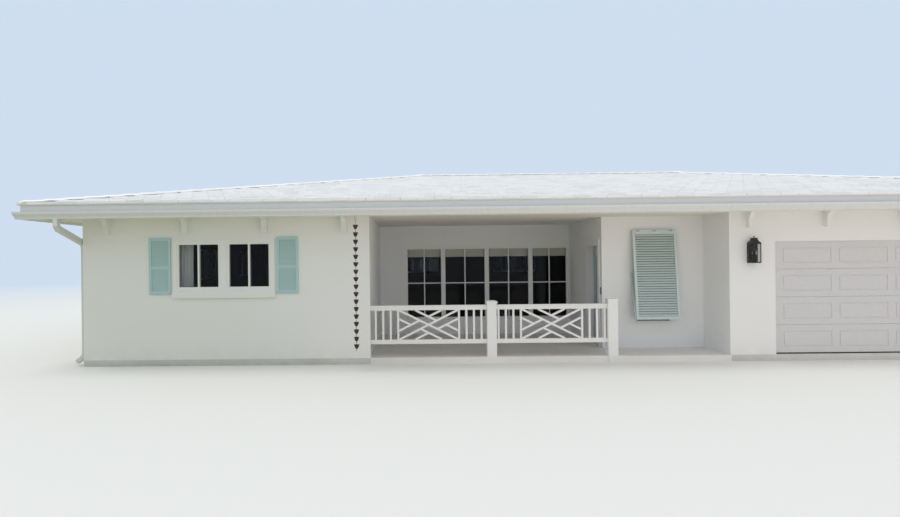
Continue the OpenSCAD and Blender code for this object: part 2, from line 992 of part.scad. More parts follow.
module window_glass() {
    color("lightslategrey", 0.5)
        union() {
            at_twin_windows()
                twin_glass();
            for (i = [0 : 3])
                at_porch_unit(i)
                    translate([0, frame_d / 4, 0])
                        glass_panes(porch_units[i], porch_unit_h, frame_d / 2, eps, 2, 2, muntin_w);
            translate([x_entry_win - entry_win_w / 2, y_entry + wall_t / 2 - frame_d / 2,
                       floor_h + entry_win_z])
                glass_panes(entry_win_w, entry_win_h, frame_d, frame_w, 1, 2, frame_w);
        }
}

// Shutters

// Framed panel of sloping slats in the XZ plane, its back at y = 0, with a rail at each listed height
module louvre_panel(w, h, rails, pitch, slat_w, slat_t) {
    difference() {
        translate([0, -shutter_t, 0])
            cube([w, shutter_t, h]);
        for (i = [0 : len(rails) - 2])
            translate([stile_w, -shutter_t - eps, rails[i] + shutter_rail])
                cube([w - 2 * stile_w, shutter_t + 2 * eps, rails[i + 1] - rails[i] - shutter_rail]);
    }
    for (i = [0 : len(rails) - 2]) {
        from = rails[i] + shutter_rail;
        room = rails[i + 1] - from;
        count = floor(room / pitch);
        for (k = [0 : count - 1])
            translate([w / 2, -shutter_t / 2, from + (k + 0.5) * room / count])
                rotate([-slat_tilt, 0, 0])
                    cube([w - 2 * stile_w + 2 * eps, slat_w, slat_t], center = true);
    }
}

module louvred_shutters() {
    z = floor_h + twin_z + twin_h / 2 - shutter_h / 2;
    reach = twin_w / 2 + casing_w + shutter_gap;
    rails = [0, (shutter_h - shutter_rail) / 2 - mid_rail_drop, shutter_h - shutter_rail];
    color("paleturquoise")
        for (x = [x_twin - reach - shutter_w, x_twin + reach])
            translate([x, y_front, z])
                louvre_panel(shutter_w, shutter_h, rails, louvre_pitch, 34, 6);
}

// Tilt of the Bahama shutter from its hinge to its foot
bahama_tilt = asin(bahama_off / bahama_l);
bahama_hinge = 55;
bahama_strip_h = 26;
prop_plate_t = 12;
prop_plate_h = 120;
prop_ear = 8;
prop_foot_in = 56;
clip_gap = 0.3;

module bahama_shutter() {
    color("paleturquoise")
        translate([x_entry_win - bahama_w / 2, y_entry - bahama_hinge, floor_h + bahama_z])
            rotate([-bahama_tilt, 0, 0])
                translate([0, 0, -bahama_l])
                    louvre_panel(bahama_w, bahama_l, [0, bahama_l - shutter_rail], bahama_pitch, 46, 8);
}

// Hinge strip over the Bahama shutter and the two props that hold its foot off the wall
module bahama_props() {
    along = bahama_l - prop_foot_in;
    foot = [-bahama_hinge - along * sin(bahama_tilt), -along * cos(bahama_tilt)];
    plate = [-prop_plate_t, -prop_drop];
    run = foot - plate;
    side = bahama_w / 2 + clip_gap;
    color("paleturquoise")
        translate([x_entry_win, y_entry, floor_h + bahama_z])
            union() {
                translate([-bahama_w / 2, -bahama_hinge - shutter_t, shutter_t * sin(bahama_tilt) + clip_gap])
                    cube([bahama_w, bahama_hinge + shutter_t, bahama_strip_h]);
                for (s = [-1, 1])
                    translate([s * (side + prop_w / 2), 0, 0]) {
                        translate([-prop_w / 2, plate[0], plate[1]])
                            rotate([atan2(run[1], run[0]), 0, 0])
                                translate([0, 0, -prop_w / 2])
                                    cube([prop_w, norm(run), prop_w]);
                        translate([-prop_w / 2 - prop_ear, -prop_plate_t - prop_w / 2,
                                   plate[1] - prop_plate_h / 2])
                            cube([prop_w + 2 * prop_ear, prop_plate_t + prop_w / 2, prop_plate_h]);
                    }
            }
}

// Front door, in the porch wall that faces -X

// Frame in the door opening, with stops and a threshold, and a flat casing on the porch side
module door_frame() {
    inside = y_door + door_open_w - door_frame_t;
    head = floor_h + door_open_h - door_frame_t;
    color("powderblue")
        union() {
            difference() {
                block([x_entry, y_door, floor_h],
                      [x_entry + wall_t, y_door + door_open_w, floor_h + door_open_h]);
                block([x_entry - eps, y_door + door_frame_t + stop_w, floor_h + threshold_h],
                      [x_entry + wall_t + eps, inside - stop_w, head - stop_w]);
                block([x_leaf - leaf_gap, y_door + door_frame_t, floor_h + threshold_h],
                      [x_entry + wall_t + eps, inside, head]);
            }
            difference() {
                block([x_entry - casing_t, y_door - casing_w, floor_h],
                      [x_entry, y_door + door_open_w + casing_w, floor_h + door_open_h + casing_w]);
                block([x_entry - casing_t - eps, y_door + door_frame_t + stop_w, floor_h + threshold_h],
                      [x_entry + eps, inside - stop_w, head - stop_w]);
            }
        }
}

// Corner of the leaf's glass opening, seen from its lower street-side corner
y_leaf = y_hinge - leaf_w;
lite_y = y_leaf + (leaf_w - lite_w) / 2;
lite_z = z_leaf + lite_foot;

module front_door() {
    color("powderblue")
        difference() {
            block([x_leaf, y_leaf, z_leaf], [x_leaf + leaf_t, y_hinge, z_leaf + leaf_h]);
            block([x_leaf - eps, lite_y, lite_z], [x_leaf + leaf_t + eps, lite_y + lite_w, lite_z + lite_h]);
        }
}

module front_door_glass() {
    color("lightslategrey", 0.5)
        block([x_leaf + leaf_t / 2 - glass_t / 2, lite_y, lite_z],
              [x_leaf + leaf_t / 2 + glass_t / 2, lite_y + lite_w, lite_z + lite_h]);
}

// Hinges: the frame holds the pin and the middle knuckle, the leaf the knuckles above and below it
knuckle_h = 32;
knuckle_gap = 0.3;
plate_t = 3;
plate_w = 30;
plate_gap = 3;
pin_r = 3.5;
pin_gap = 0.05;

module at_hinges() {
    for (s = [0.1, 0.5, 0.9])
        translate([x_entry + wall_t + barrel_r, y_hinge + leaf_gap / 2, z_leaf + s * leaf_h])
            children();
}

// Knuckle round the pin, from its middle height, and the tab that joins it to its plate on one side
module knuckle(z, h, side) {
    reach = side * (barrel_r + plate_gap + eps);
    translate([0, 0, z])
        cylinder(h = h, r = barrel_r, $fn = 64);
    block([-barrel_r, min(0, reach), z], [plate_t - barrel_r, max(0, reach), z + h]);
}

// Plate of a hinge, beside the barrel on one side
module hinge_plate(tall, side) {
    near = side * (barrel_r + plate_gap);
    far = near + side * plate_w;
    block([-barrel_r, min(near, far), -tall / 2], [plate_t - barrel_r, max(near, far), tall / 2]);
}

module frame_hinges() {
    tall = 3 * knuckle_h + 2 * knuckle_gap;
    color("silver")
        at_hinges()
            union() {
                cylinder(h = tall, r = pin_r, center = true, $fn = 48);
                knuckle(-knuckle_h / 2, knuckle_h, 1);
                hinge_plate(tall, 1);
            }
}

module leaf_hinges() {
    tall = 3 * knuckle_h + 2 * knuckle_gap;
    color("silver")
        at_hinges()
            difference() {
                union() {
                    for (z = [knuckle_h / 2 + knuckle_gap, -tall / 2])
                        knuckle(z, knuckle_h, -1);
                    hinge_plate(tall, -1);
                }
                cylinder(h = tall + 2 * eps, r = pin_r + pin_gap, center = true, $fn = 48);
            }
}

// Lever handle with its rose on each face of the leaf
module door_handle() {
    rose = [52, 8];
    neck = [22, 46];
    lever = [16, 125];
    color("silver")
        for (s = [-1, 1])
            translate([x_leaf + (s > 0 ? leaf_t : 0), y_leaf + handle_in, floor_h + handle_z])
                union() {
                    for (size = [rose, neck])
                        rotate([0, s * 90, 0])
                            cylinder(h = size[1], d = size[0], $fn = 64);
                    translate([s * (neck[1] - 10), -neck[0] / 2, 0])
                        rotate([-90, 0, 0])
                            cylinder(h = lever[1], d = lever[0], $fn = 48);
                }
}

// Railing

// Straight bar of the lattice between two points, both ends run on past them
module lattice_bar(from, to, over) {
    run = to - from;
    translate([from[0], 0, from[1]])
        rotate([0, -atan2(run[1], run[0]), 0])
            translate([-over, -lattice_t / 2, -bar_w / 2])
                cube([norm(run) + 2 * over, lattice_t, bar_w]);
}

// Lattice of two crossing diagonals with four shorter bars each way, alike when turned half round
module lattice(w, h) {
    top = 0.275;
    side = 0.3;
    function at(u, v) = [(u - 0.5) * w, (0.5 - v) * h];
    intersection() {
        translate([-w / 2 - eps, -bar_t, -h / 2 - eps])
            cube([w + 2 * eps, 2 * bar_t, h + 2 * eps]);
        union() {
            lattice_bar(at(0, 0), at(1, 1), bar_w);
            lattice_bar(at(0, 1), at(1, 0), bar_w);
            for (turn = [0, 180])
                rotate([0, turn, 0]) {
                    lattice_bar(at(top, 0), at((1 + top) / 2, (1 - top) / 2), 0);
                    lattice_bar(at(1 - top, 0), at(0.5, 0.5 - top), 0);
                    lattice_bar(at((1 - side) / 2, (1 - side) / 2), at(0, 1 - side), 0);
                    lattice_bar(at(0, side), at((1 - 2 * side) / 2, 0.5), 0);
                }
        }
    }
}

// One bay of railing between two uprights: rails, a lattice panel and balusters beside it
module railing(from, to) {
    z_low = floor_h + rail_gap;
    z_top = floor_h + rail_h - top_rail_h;
    open_h = z_top - z_low - low_rail_h;
    mid = (from + to) / 2;
    nosing = [12, 30];
    color("white")
        translate([0, y_rail, 0])
            union() {
                block([from, -rail_t / 2, z_low], [to, rail_t / 2, z_low + low_rail_h]);
                block([from, -rail_t / 2, z_top], [to, rail_t / 2, z_top + top_rail_h]);
                block([from, -rail_t / 2 - nosing[0], z_top + top_rail_h - nosing[1]],
                      [to, rail_t / 2 + nosing[0], z_top + top_rail_h]);
                for (s = [-1, 1], i = [0 : bars_beside])
                    translate([mid + s * (lattice_w / 2 + i * bar_pitch) - bar_w / 2, -bar_t / 2,
                               z_low + low_rail_h])
                        cube([bar_w, bar_t, open_h]);
                translate([mid, 0, z_low + low_rail_h + open_h / 2])
                    lattice(lattice_w - bar_w, open_h);
            }
}

module railing_left() {
    railing(x_porch, x_newel);
}

module railing_right() {
    railing(x_newel + newel_w, x_pier);
}

module newel_post() {
    over_rail = 30;
    cap_t = 32;
    crown_h = 18;
    crown_in = 14;
    color("white")
        translate([x_newel + newel_w / 2, y_rail, floor_h])
            union() {
                block([-newel_w / 2, -newel_w / 2, 0], [newel_w / 2, newel_w / 2, rail_h + over_rail]);
                translate([0, 0, rail_h + over_rail]) {
                    block([-newel_cap_w / 2, -newel_cap_w / 2, 0], [newel_cap_w / 2, newel_cap_w / 2, cap_t]);
                    translate([0, 0, cap_t])
                        pyramid(newel_cap_w - 2 * crown_in, newel_w - 2 * crown_in, crown_h);
                }
            }
}

// Low square pyramid with its top cut off, standing on z = 0
module pyramid(foot, top, h) {
    rotate([0, 0, 45])
        cylinder(h = h, d1 = foot * sqrt(2), d2 = top * sqrt(2), $fn = 4);
}

module end_pier() {
    color("white")
        translate([x_pier, y_rail - pier_w / 2, floor_h])
            cube([pier_w, pier_w, pier_h]);
}

// Garage door

module garage_door() {
    row_h = (gdoor_h - seal_h) / gdoor_rows;
    panel_w = (gdoor_w - 2 * panel_end - (gdoor_cols - 1) * panel_gap) / gdoor_cols;
    panel = [panel_w, row_h - 2 * panel_margin_h];
    field = panel - 2 * [panel_groove, panel_groove];
    cut = 7;
    joint = [10, 8];
    color("white")
        translate([x_garage + gdoor_in, y_front + gdoor_recess, floor_h + seal_h])
            difference() {
                cube([gdoor_w, gdoor_t, gdoor_h - seal_h]);
                for (j = [1 : gdoor_rows - 1])
                    translate([-eps, -eps, j * row_h - joint[1] / 2])
                        cube([gdoor_w + 2 * eps, joint[0] + eps, joint[1]]);
                for (i = [0 : gdoor_cols - 1], j = [0 : gdoor_rows - 1])
                    translate([panel_end + i * (panel_w + panel_gap), -eps, j * row_h + panel_margin_h])
                        difference() {
                            cube([panel[0], cut + eps, panel[1]]);
                            translate([panel_groove, -eps, panel_groove])
                                cube([field[0], cut + 3 * eps, field[1]]);
                        }
            }
}

module garage_door_seal() {
    color("dimgrey")
        translate([x_garage + gdoor_in, y_front + gdoor_recess, floor_h])
            cube([gdoor_w, gdoor_t, seal_h]);
}

// Wall lantern

lantern_plate_t = 14;
lantern_rim = 22;
lantern_pane_t = 4;

// Cage of four posts between a base and a roof with hollow-curved sides, held off the wall by a back plate
module wall_lantern() {
    y_front_post = -lantern_d;
    y_back_post = -lantern_plate_t - lantern_post;
    holder = [30, 110];
    depth = lantern_d - lantern_plate_t;
    roof = [[0.5, 0], [0.5, 0.08], [0.38, 0.25], [0.3, 0.5], [0.27, 0.9], [0.27, 1]];
    color("darkslategrey")
        translate([x_garage + lantern_in, y_front, floor_h + lantern_z])
            union() {
                block([-lantern_plate_w / 2, -lantern_plate_t, 0],
                      [lantern_plate_w / 2, 0, lantern_h + lantern_roof_h]);
                for (z = [0, lantern_h - lantern_rim])
                    block([-lantern_w / 2, -lantern_d, z],
                          [lantern_w / 2, -lantern_plate_t + eps, z + lantern_rim]);
                for (x = [-lantern_w / 2, lantern_w / 2 - lantern_post], y = [y_front_post, y_back_post])
                    block([x, y, 0], [x + lantern_post, y + lantern_post, lantern_h]);
                translate([0, -lantern_plate_t, lantern_h])
                    intersection() {
                        rotate([90, 0, 0])
                            linear_extrude(depth)
                                roof_outline(roof, lantern_w);
                        translate([0, -depth / 2, 0])
                            rotate([90, 0, 90])
                                linear_extrude(lantern_w, center = true)
                                    roof_outline(roof, depth);
                    }
                translate([0, -lantern_plate_t - depth / 2, lantern_rim])
                    cylinder(h = holder[1], d = holder[0], $fn = 48);
            }
}

// Outline of the roof seen from one side, from half widths and heights given as shares
module roof_outline(points, w) {
    polygon(concat(
        [for (p = points) [p[0] * w, p[1] * lantern_roof_h]],
        [for (p = reversed(points)) [-p[0] * w, p[1] * lantern_roof_h]]));
}

module lantern_glass() {
    side = lantern_w / 2 - lantern_post / 2;
    z = [lantern_rim, lantern_h - lantern_rim];
    half = lantern_pane_t / 2;
    color("lightslategrey", 0.4)
        translate([x_garage + lantern_in, y_front, floor_h + lantern_z])
            union() {
                for (x = [-side, side])
                    block([x - half, lantern_post - lantern_d, z[0]],
                          [x + half, -lantern_plate_t - lantern_post, z[1]]);
                block([lantern_post - lantern_w / 2, lantern_post / 2 - half - lantern_d, z[0]],
                      [lantern_w / 2 - lantern_post, lantern_post / 2 + half - lantern_d, z[1]]);
            }
}

floor_slab();
porch_slab();
left_wing_front_wall();
porch_return_wall();
porch_back_wall();
door_wall();
door_lintel();
entry_wall();
garage_return_wall();
garage_front_wall();
left_wall();
right_wall();
back_wall();
soffit();
house_ceiling();
fascia();
roof_front();
roof_right();
roof_back();
roof_left();
ridge_caps();
hip_caps();
gutter_front();
gutter_right();
gutter_back();
gutter_left();
downspouts();
rain_chain();
eave_brackets();
twin_window_frames();
porch_window_frame();
entry_window_frame();
window_glass();
louvred_shutters();
bahama_shutter();
bahama_props();
door_frame();
front_door();
front_door_glass();
door_handle();
frame_hinges();
leaf_hinges();
railing_left();
railing_right();
newel_post();
end_pier();
garage_door();
garage_door_seal();
wall_lantern();
lantern_glass();
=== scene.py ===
"""Looks of a single-storey bungalow: its finishes and its finer pieces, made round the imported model."""
import math
import random

import bmesh
import bpy
from mathutils import Matrix, Vector


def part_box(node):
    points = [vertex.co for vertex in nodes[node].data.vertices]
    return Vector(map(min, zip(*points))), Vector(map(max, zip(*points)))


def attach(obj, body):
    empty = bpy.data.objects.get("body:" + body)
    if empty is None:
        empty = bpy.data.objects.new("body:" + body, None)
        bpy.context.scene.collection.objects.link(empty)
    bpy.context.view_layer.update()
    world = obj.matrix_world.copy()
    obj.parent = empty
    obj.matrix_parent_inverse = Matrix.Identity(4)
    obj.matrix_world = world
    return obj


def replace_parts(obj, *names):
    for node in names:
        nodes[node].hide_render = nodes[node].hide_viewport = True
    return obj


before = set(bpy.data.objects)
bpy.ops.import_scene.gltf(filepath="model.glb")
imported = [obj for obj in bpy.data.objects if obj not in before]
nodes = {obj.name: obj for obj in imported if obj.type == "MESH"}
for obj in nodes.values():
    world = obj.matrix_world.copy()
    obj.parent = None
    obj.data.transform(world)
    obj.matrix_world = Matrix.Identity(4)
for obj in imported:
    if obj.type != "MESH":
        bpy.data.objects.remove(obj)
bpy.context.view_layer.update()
scene = bpy.context.scene

# Viewpoint of the photograph
# Eye height, heading and slight roll of a 24 mm lens, with the frame a little off the lens axis.
eye = Vector((-4.055, -17.883, 1.978))
heading = -0.012
roll = -0.011
lens_mm = 23.8
sensor_mm = 36.0
lens_shift = (0.048, 0.0016)
view_end = 500.0

ahead = Vector((math.sin(heading), math.cos(heading), 0.0))
level_right = Vector((math.cos(heading), -math.sin(heading), 0.0))
right = level_right * math.cos(roll) + Vector((0.0, 0.0, 1.0)) * math.sin(roll)
above = right.cross(ahead)
camera_data = bpy.data.cameras.new("camera")
camera_data.lens = lens_mm
camera_data.sensor_width = sensor_mm
camera_data.sensor_fit = "HORIZONTAL"
camera_data.shift_x, camera_data.shift_y = lens_shift
camera_data.clip_end = view_end
camera = bpy.data.objects.new("camera", camera_data)
camera.matrix_world = Matrix.Translation(eye) @ Matrix((right, above, -ahead)).transposed().to_4x4()
scene.collection.objects.link(camera)
scene.camera = camera
scene.view_settings.view_transform = "Standard"


# Studio floor and light
# One pale floor that runs off into a pale backdrop, a broad soft sun from the upper left and an even sky.
# Floor and backdrop look one colour and give light of another, a little green at the left and warm at the right.
class Wire:
    """A socket of a material, which sums and products can be written with."""

    def __init__(self, tree, socket=None):
        self.tree = tree
        self.socket = socket

    def node(self, kind, settings=None, sockets=None, out=0):
        """Adds a node, sets its settings and then its sockets, and returns one of its outputs."""
        made = self.tree.nodes.new("ShaderNode" + kind)
        for name, value in (settings or {}).items():
            setattr(made, name, value)
        for name, value in (sockets or {}).items():
            self.join(made.inputs[name], value)
        return Wire(self.tree, made.outputs[out])

    def join(self, socket, value):
        """Sets a socket to a value, or links it to another wire."""
        if isinstance(value, Wire):
            self.tree.links.new(value.socket, socket)
        elif isinstance(value, tuple) and len(value) == 3 and len(socket.default_value) == 4:
            socket.default_value = (*value, 1.0)
        else:
            socket.default_value = value

    def end(self, kind):
        """Links this shader to a new output of its tree."""
        self.join(self.tree.nodes.new("ShaderNodeOutput" + kind).inputs["Surface"], self)

    def math(self, operation, other=0.0):
        return self.node("Math", {"operation": operation}, {0: self, 1: other})

    def __add__(self, other):
        return self.math("ADD", other)

    def __sub__(self, other):
        return self.math("SUBTRACT", other)

    def __rsub__(self, other):
        return self.node("Math", {"operation": "SUBTRACT"}, {0: other, 1: self})

    def __mul__(self, other):
        return self.math("MULTIPLY", other)

    __radd__ = __add__
    __rmul__ = __mul__

    def axis(self, name):
        """The X, Y or Z of this place."""
        return self.node("SeparateXYZ", None, {0: self}, out=name)

    def band(self, low, high):
        """0 where this is below the low value, 1 where it is above the high one."""
        return self.node("MapRange", {"clamp": True}, {"Value": self, "From Min": low, "From Max": high})

    def blend(self, a, b):
        """Colour a where this is 0 and colour b where it is 1."""
        return self.node("Mix", {"data_type": "RGBA"}, {0: self, 6: a, 7: b}, out=2)

    def noise(self, scale, detail=2.0, roughness=0.5, stretch=None):
        """Clouds from 0 to 1 at this place, so many per metre, longer along an axis whose stretch is under 1."""
        where = self.node("Mapping", None, {"Vector": self, "Scale": stretch}) if stretch else self
        return self.node("TexNoise", None, {"Vector": where, "Scale": scale, "Detail": detail,
                                            "Roughness": roughness})

    def bump(self, strength, distance):
        """Normal of a surface raised by this height, with the distance in metres that 1 stands for."""
        return self.node("Bump", None, {"Height": self, "Strength": strength, "Distance": distance})


def new_material(name, measured="Object"):
    """An empty material, and the place of a point on the piece, in its Object or UV coordinates."""
    material = bpy.data.materials.new(name)
    material.use_nodes = True
    material.node_tree.nodes.clear()
    return material, Wire(material.node_tree).node("TexCoord", out=measured)


def new_object(name, mesh, material, smooth=False):
    """Turns a bmesh into an object of one material."""
    data = bpy.data.meshes.new(name)
    mesh.to_mesh(data)
    mesh.free()
    data.materials.append(material)
    if smooth:
        data.shade_smooth()
    made = bpy.data.objects.new(name, data)
    scene.collection.objects.link(made)
    return made


def look_and_light(wire, seen, light):
    """One colour for what the camera and reflections see, another for the light it gives."""
    rays = [wire.node("LightPath", out=out) for out in ("Is Camera Ray", "Is Glossy Ray", "Is Transmission Ray")]
    return (rays[0] + rays[1] + rays[2]).math("MINIMUM", 1.0).blend(light, seen)


backdrop_colour = (0.62, 0.73, 0.87)
sky_colour = (0.88, 0.94, 1.0)
sky_strength = 0.85
floor_colour = (0.74, 0.74, 0.71)
floor_light_left = (0.36, 0.365, 0.20)
floor_light_right = (0.86, 0.77, 0.66)
left_ends, right_begins = -7.0, -3.0
floor_size = 160.0
fade_from, fade_to = 18.0, 55.0
sun_strength = 1.2
sun_colour = (1.0, 0.95, 0.88)
sun_softness = math.radians(34)
sun_direction = Vector((0.24, 0.12, -1.0))

world = bpy.data.worlds.new("sky")
scene.world = world
world.use_nodes = True
world.node_tree.nodes.clear()
sky = Wire(world.node_tree)
sky_seen = look_and_light(sky, backdrop_colour, tuple(c * sky_strength for c in sky_colour))
sky.node("Background", None, {"Color": sky_seen, "Strength": 1.0}).end("World")

matt, place = new_material("studio_floor")
fade = place.node("VectorMath", {"operation": "LENGTH"}, {0: place}, out="Value").band(fade_from, fade_to)
floor_light = place.axis("X").band(left_ends, right_begins).blend(floor_light_left, floor_light_right)
near = place.node("BsdfPrincipled", None, {"Base Color": look_and_light(place, floor_colour, floor_light),
                                           "Roughness": 0.9})
far = place.node("Emission", None, {"Color": backdrop_colour, "Strength": 1.0})
place.node("MixShader", None, {0: fade, 1: near, 2: far}).end("Material")
ground = bmesh.new()
bmesh.ops.create_grid(ground, x_segments=1, y_segments=1, size=floor_size / 2)
new_object("studio_floor", ground, matt)

sun_data = bpy.data.lights.new("sun", "SUN")
sun_data.energy = sun_strength
sun_data.angle = sun_softness
sun_data.color = sun_colour
sun = bpy.data.objects.new("sun", sun_data)
sun.rotation_euler = sun_direction.to_track_quat("-Z", "Y").to_euler()
scene.collection.objects.link(sun)


# Masonry walls
# Blockwork under smooth white stucco, painted: a fine sand finish, faintly uneven as a trowel leaves it.
# The rooms' side, from the middle of each wall inwards, is painted dark grey as painted shade of the unlit rooms.
def finish(material, sockets):
    """Gives a material its Principled surface, with these sockets."""
    Wire(material.node_tree).node("BsdfPrincipled", None, sockets).end("Material")


def dress(material, *names):
    """Gives CAD nodes this material."""
    for name in names:
        mesh = nodes[name].data
        mesh.materials.clear()
        mesh.materials.append(material)


wall_white = (0.87, 0.87, 0.87)
wall_dusty = (0.74, 0.74, 0.73)
room_painted_shade = (0.20, 0.19, 0.18)
rooms_end, rooms_back = 10.29, 6.47
rooms = ((-rooms_end, -5.0, -rooms_back), (-5.0, -0.08, -2.9), (-0.08, 2.005, -5.45), (2.005, rooms_end, -rooms_back))
stucco, place = new_material("white_stucco")
across_x, across_y = place.axis("X"), place.axis("Y")
splash = (1.0 - place.axis("Z").band(0.05, 0.5)) * place.noise(5.0, 4.0, 0.6).band(0.35, 0.7)
soot = (splash * 0.45 + place.noise(0.8, 4.0, 0.6).band(0.5, 0.9) * 0.2).math("MINIMUM", 1.0)
# Inside the rooms' outline the walls take the dark grey of painted shade.
inside = 0.0
for x_low, x_high, y_low in rooms:
    inside = inside + (across_x.math("GREATER_THAN", x_low) * across_x.math("LESS_THAN", x_high)
                       * across_y.math("GREATER_THAN", y_low) * across_y.math("LESS_THAN", rooms_back))
finish(stucco, {
    "Base Color": inside.blend(soot.blend(wall_white, wall_dusty), room_painted_shade),
    "Roughness": 0.82,
    "Normal": (place.noise(190.0, 3.0, 0.6) * 0.35 + place.noise(2.3, 3.0, 0.5)).bump(0.5, 0.004),
})
dress(stucco, "left_wing_front_wall", "porch_return_wall", "porch_back_wall", "door_wall", "door_lintel",
      "entry_wall", "garage_return_wall", "garage_front_wall", "left_wall", "right_wall", "back_wall", "end_pier")


# Floors
# Cast slab under the house, left bare at its edge, with pores and a damp foot.
# The porch and entry slab is steel-trowelled and sealed, so it is paler and smoother.
cast_dark, cast_pale, cast_damp = (0.60, 0.59, 0.56), (0.70, 0.69, 0.66), (0.40, 0.38, 0.34)
sealed_dark, sealed_pale = (0.76, 0.74, 0.71), (0.84, 0.82, 0.79)
concrete, place = new_material("slab_concrete")
pores = place.noise(140.0, 2.0, 0.7).band(0.58, 0.74)
damp = (1.0 - place.axis("Z").band(0.0, 0.09)) * place.noise(3.0, 4.0, 0.6).band(0.3, 0.7)
finish(concrete, {
    "Base Color": (damp * 0.5).blend(place.noise(1.7, 5.0, 0.65).band(0.35, 0.7).blend(cast_dark, cast_pale),
                                     cast_damp),
    "Roughness": 0.88,
    "Normal": (place.noise(60.0, 4.0, 0.6) - pores * 0.5).bump(0.5, 0.003),
})
dress(concrete, "floor_slab")

sealed, place = new_material("sealed_porch_concrete")
swirl = place.noise(9.0, 4.0, 0.7, (1.0, 2.2, 1.0))
finish(sealed, {
    "Base Color": place.noise(1.1, 5.0, 0.6).band(0.3, 0.75).blend(sealed_dark, sealed_pale),
    "Roughness": 0.42 + swirl * 0.35,
    "Normal": (swirl + place.noise(120.0, 2.0, 0.6) * 0.4).bump(0.4, 0.0015),
})
dress(sealed, "porch_slab")


# Ceiling and soffit
# Narrow tongue-and-groove boards, painted flat white, nailed under the rafters so that they run along the eaves.
# The rooms' ceiling is painted dark grey, with a faint trowelled relief, as painted shade of the unlit rooms.
board_w = 0.115
groove_w = 0.006
wall_end, wall_front = 10.39, 6.57
board_white, board_worn, groove_dark = (0.86, 0.84, 0.79), (0.78, 0.76, 0.70), (0.45, 0.43, 0.38)
boards, place = new_material("soffit_boards")
from_end = place.axis("X").math("ABSOLUTE") - wall_end
from_face = place.axis("Y").math("ABSOLUTE") - wall_front
in_board = from_end.math("MAXIMUM", from_face).math("PINGPONG", board_w / 2)
groove = 1.0 - in_board.band(groove_w * 0.3, groove_w)
finish(boards, {
    "Base Color": (groove * 0.35).blend((place.noise(0.9, 4.0, 0.6) * 0.35).blend(board_white, board_worn),
                                        groove_dark),
    "Roughness": 0.72,
    "Normal": (place.noise(24.0, 4.0, 0.6) * 0.12 - groove).bump(0.7, 0.003),
})
dress(boards, "soffit")

# Dark grey painted shade for the ceiling of the unlit rooms.
ceiling_painted_shade, place = new_material("painted_shade_ceiling")
trowel = place.noise(5.0, 4.0, 0.6)
finish(ceiling_painted_shade, {
    "Base Color": trowel.blend((0.17, 0.16, 0.15), (0.26, 0.25, 0.23)),
    "Roughness": 0.9,
    "Normal": trowel.bump(0.4, 0.003),
})
dress(ceiling_painted_shade, "house_ceiling")


# Roof tiles
# Flat interlocking concrete tiles under a white elastomeric coating, laid in staggered courses over a mortar bed.
# Each is an L in section: its face lies on the bed and its butt hooks over the edge of the course below.
def new_piece(name, mesh, material, body="house", smooth=False):
    """Turns a bmesh into a piece of one material that rides on a body."""
    piece = new_object(name, mesh, material, smooth)
    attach(piece, body)
    return piece


def verts_of(geom):
    """The vertices in what an operator made."""
    return [g for g in geom if isinstance(g, bmesh.types.BMVert)]


def all_of(mesh):
    return mesh.verts[:] + mesh.edges[:] + mesh.faces[:]


def add_part(whole, part, place=None):
    """Moves what one bmesh holds into another, set in its place by a matrix."""
    if place:
        bmesh.ops.transform(part, matrix=place, verts=part.verts[:])
    moved = bpy.data.meshes.new("part")
    part.to_mesh(moved)
    part.free()
    whole.from_mesh(moved)
    bpy.data.meshes.remove(moved)


def bevelled(mesh, edges, offset, segments=1):
    """Breaks these edges, flat with one segment and round with more."""
    bmesh.ops.bevel(mesh, geom=edges, offset=offset, segments=segments, profile=0.5, affect="EDGES", material=-1)


def extruded(mesh, outline, x_from, x_to):
    """Adds a bar of this outline in Y and Z, from one X to another."""
    side = mesh.faces.new([mesh.verts.new((x_from, *point)) for point in outline])
    grown = bmesh.ops.extrude_face_region(mesh, geom=[side])["geom"]
    bmesh.ops.translate(mesh, vec=(x_to - x_from, 0, 0), verts=verts_of(grown))


eave_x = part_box("roof_front")[1][0]
eave_y = -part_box("roof_front")[0][1]
roof_z = 3.075
roof_pitch = 0.194
course_count = 22
course_run = eave_y / course_count
course_step = 0.028
tile_w = 0.305
tile_joint = 0.006
tile_t = 0.010
tile_out = 0.006
tile_round = 0.003
tile_corner = 0.007
tile_lift = 0.004
tile_roll = 0.001
tile_slide = 0.003
row_slide = 0.05
hip_gap = 0.008
eave_hook = 0.030
hook_clear = 0.001
air = 0.0005
# Share by which each tile's top face is painted darker than its butt, as painted shade that holds back the light the
# tops catch.
top_shade_share = 0.45
tile_white, tile_worn_and_shaded = (0.92, 0.92, 0.92), (0.70, 0.70, 0.69)
bed_dark, bed_pale, bed_shade_speck = (0.75, 0.75, 0.76), (0.87, 0.87, 0.875), (0.20, 0.19, 0.19)
# Heights of the band under the first course where dark specks are painted, as painted shade in the gaps under the
# tile butts.
shade_specks_begin, shade_specks_end = (3.035, 3.060), (3.09, 3.10)

coated, place = new_material("coated_roof_tile")
tone = place.node("Attribute", {"attribute_name": "tile_tone"}, out="Fac")
sand = place.noise(150.0, 3.0, 0.6)
cloud = place.noise(1.3, 5.0, 0.6)
stain = place.noise(7.0, 5.0, 0.7).band(0.62, 0.8)
# Tiles darken with random tone, clouds and stains, and their top faces also with painted shade.
worn = (tone * 0.60 + cloud.band(0.45, 0.85) * 0.25 + stain * 0.35).math("MINIMUM", 1.0)
finish(coated, {
    "Base Color": worn.blend(tile_white, tile_worn_and_shaded),
    "Roughness": 0.62 + sand * 0.2,
    "Normal": (sand + cloud * 0.6).bump(0.45, 0.003),
})

bed, place = new_material("roof_bedding")
height = place.axis("Z")
grit = place.noise(80.0, 3.0, 0.7)
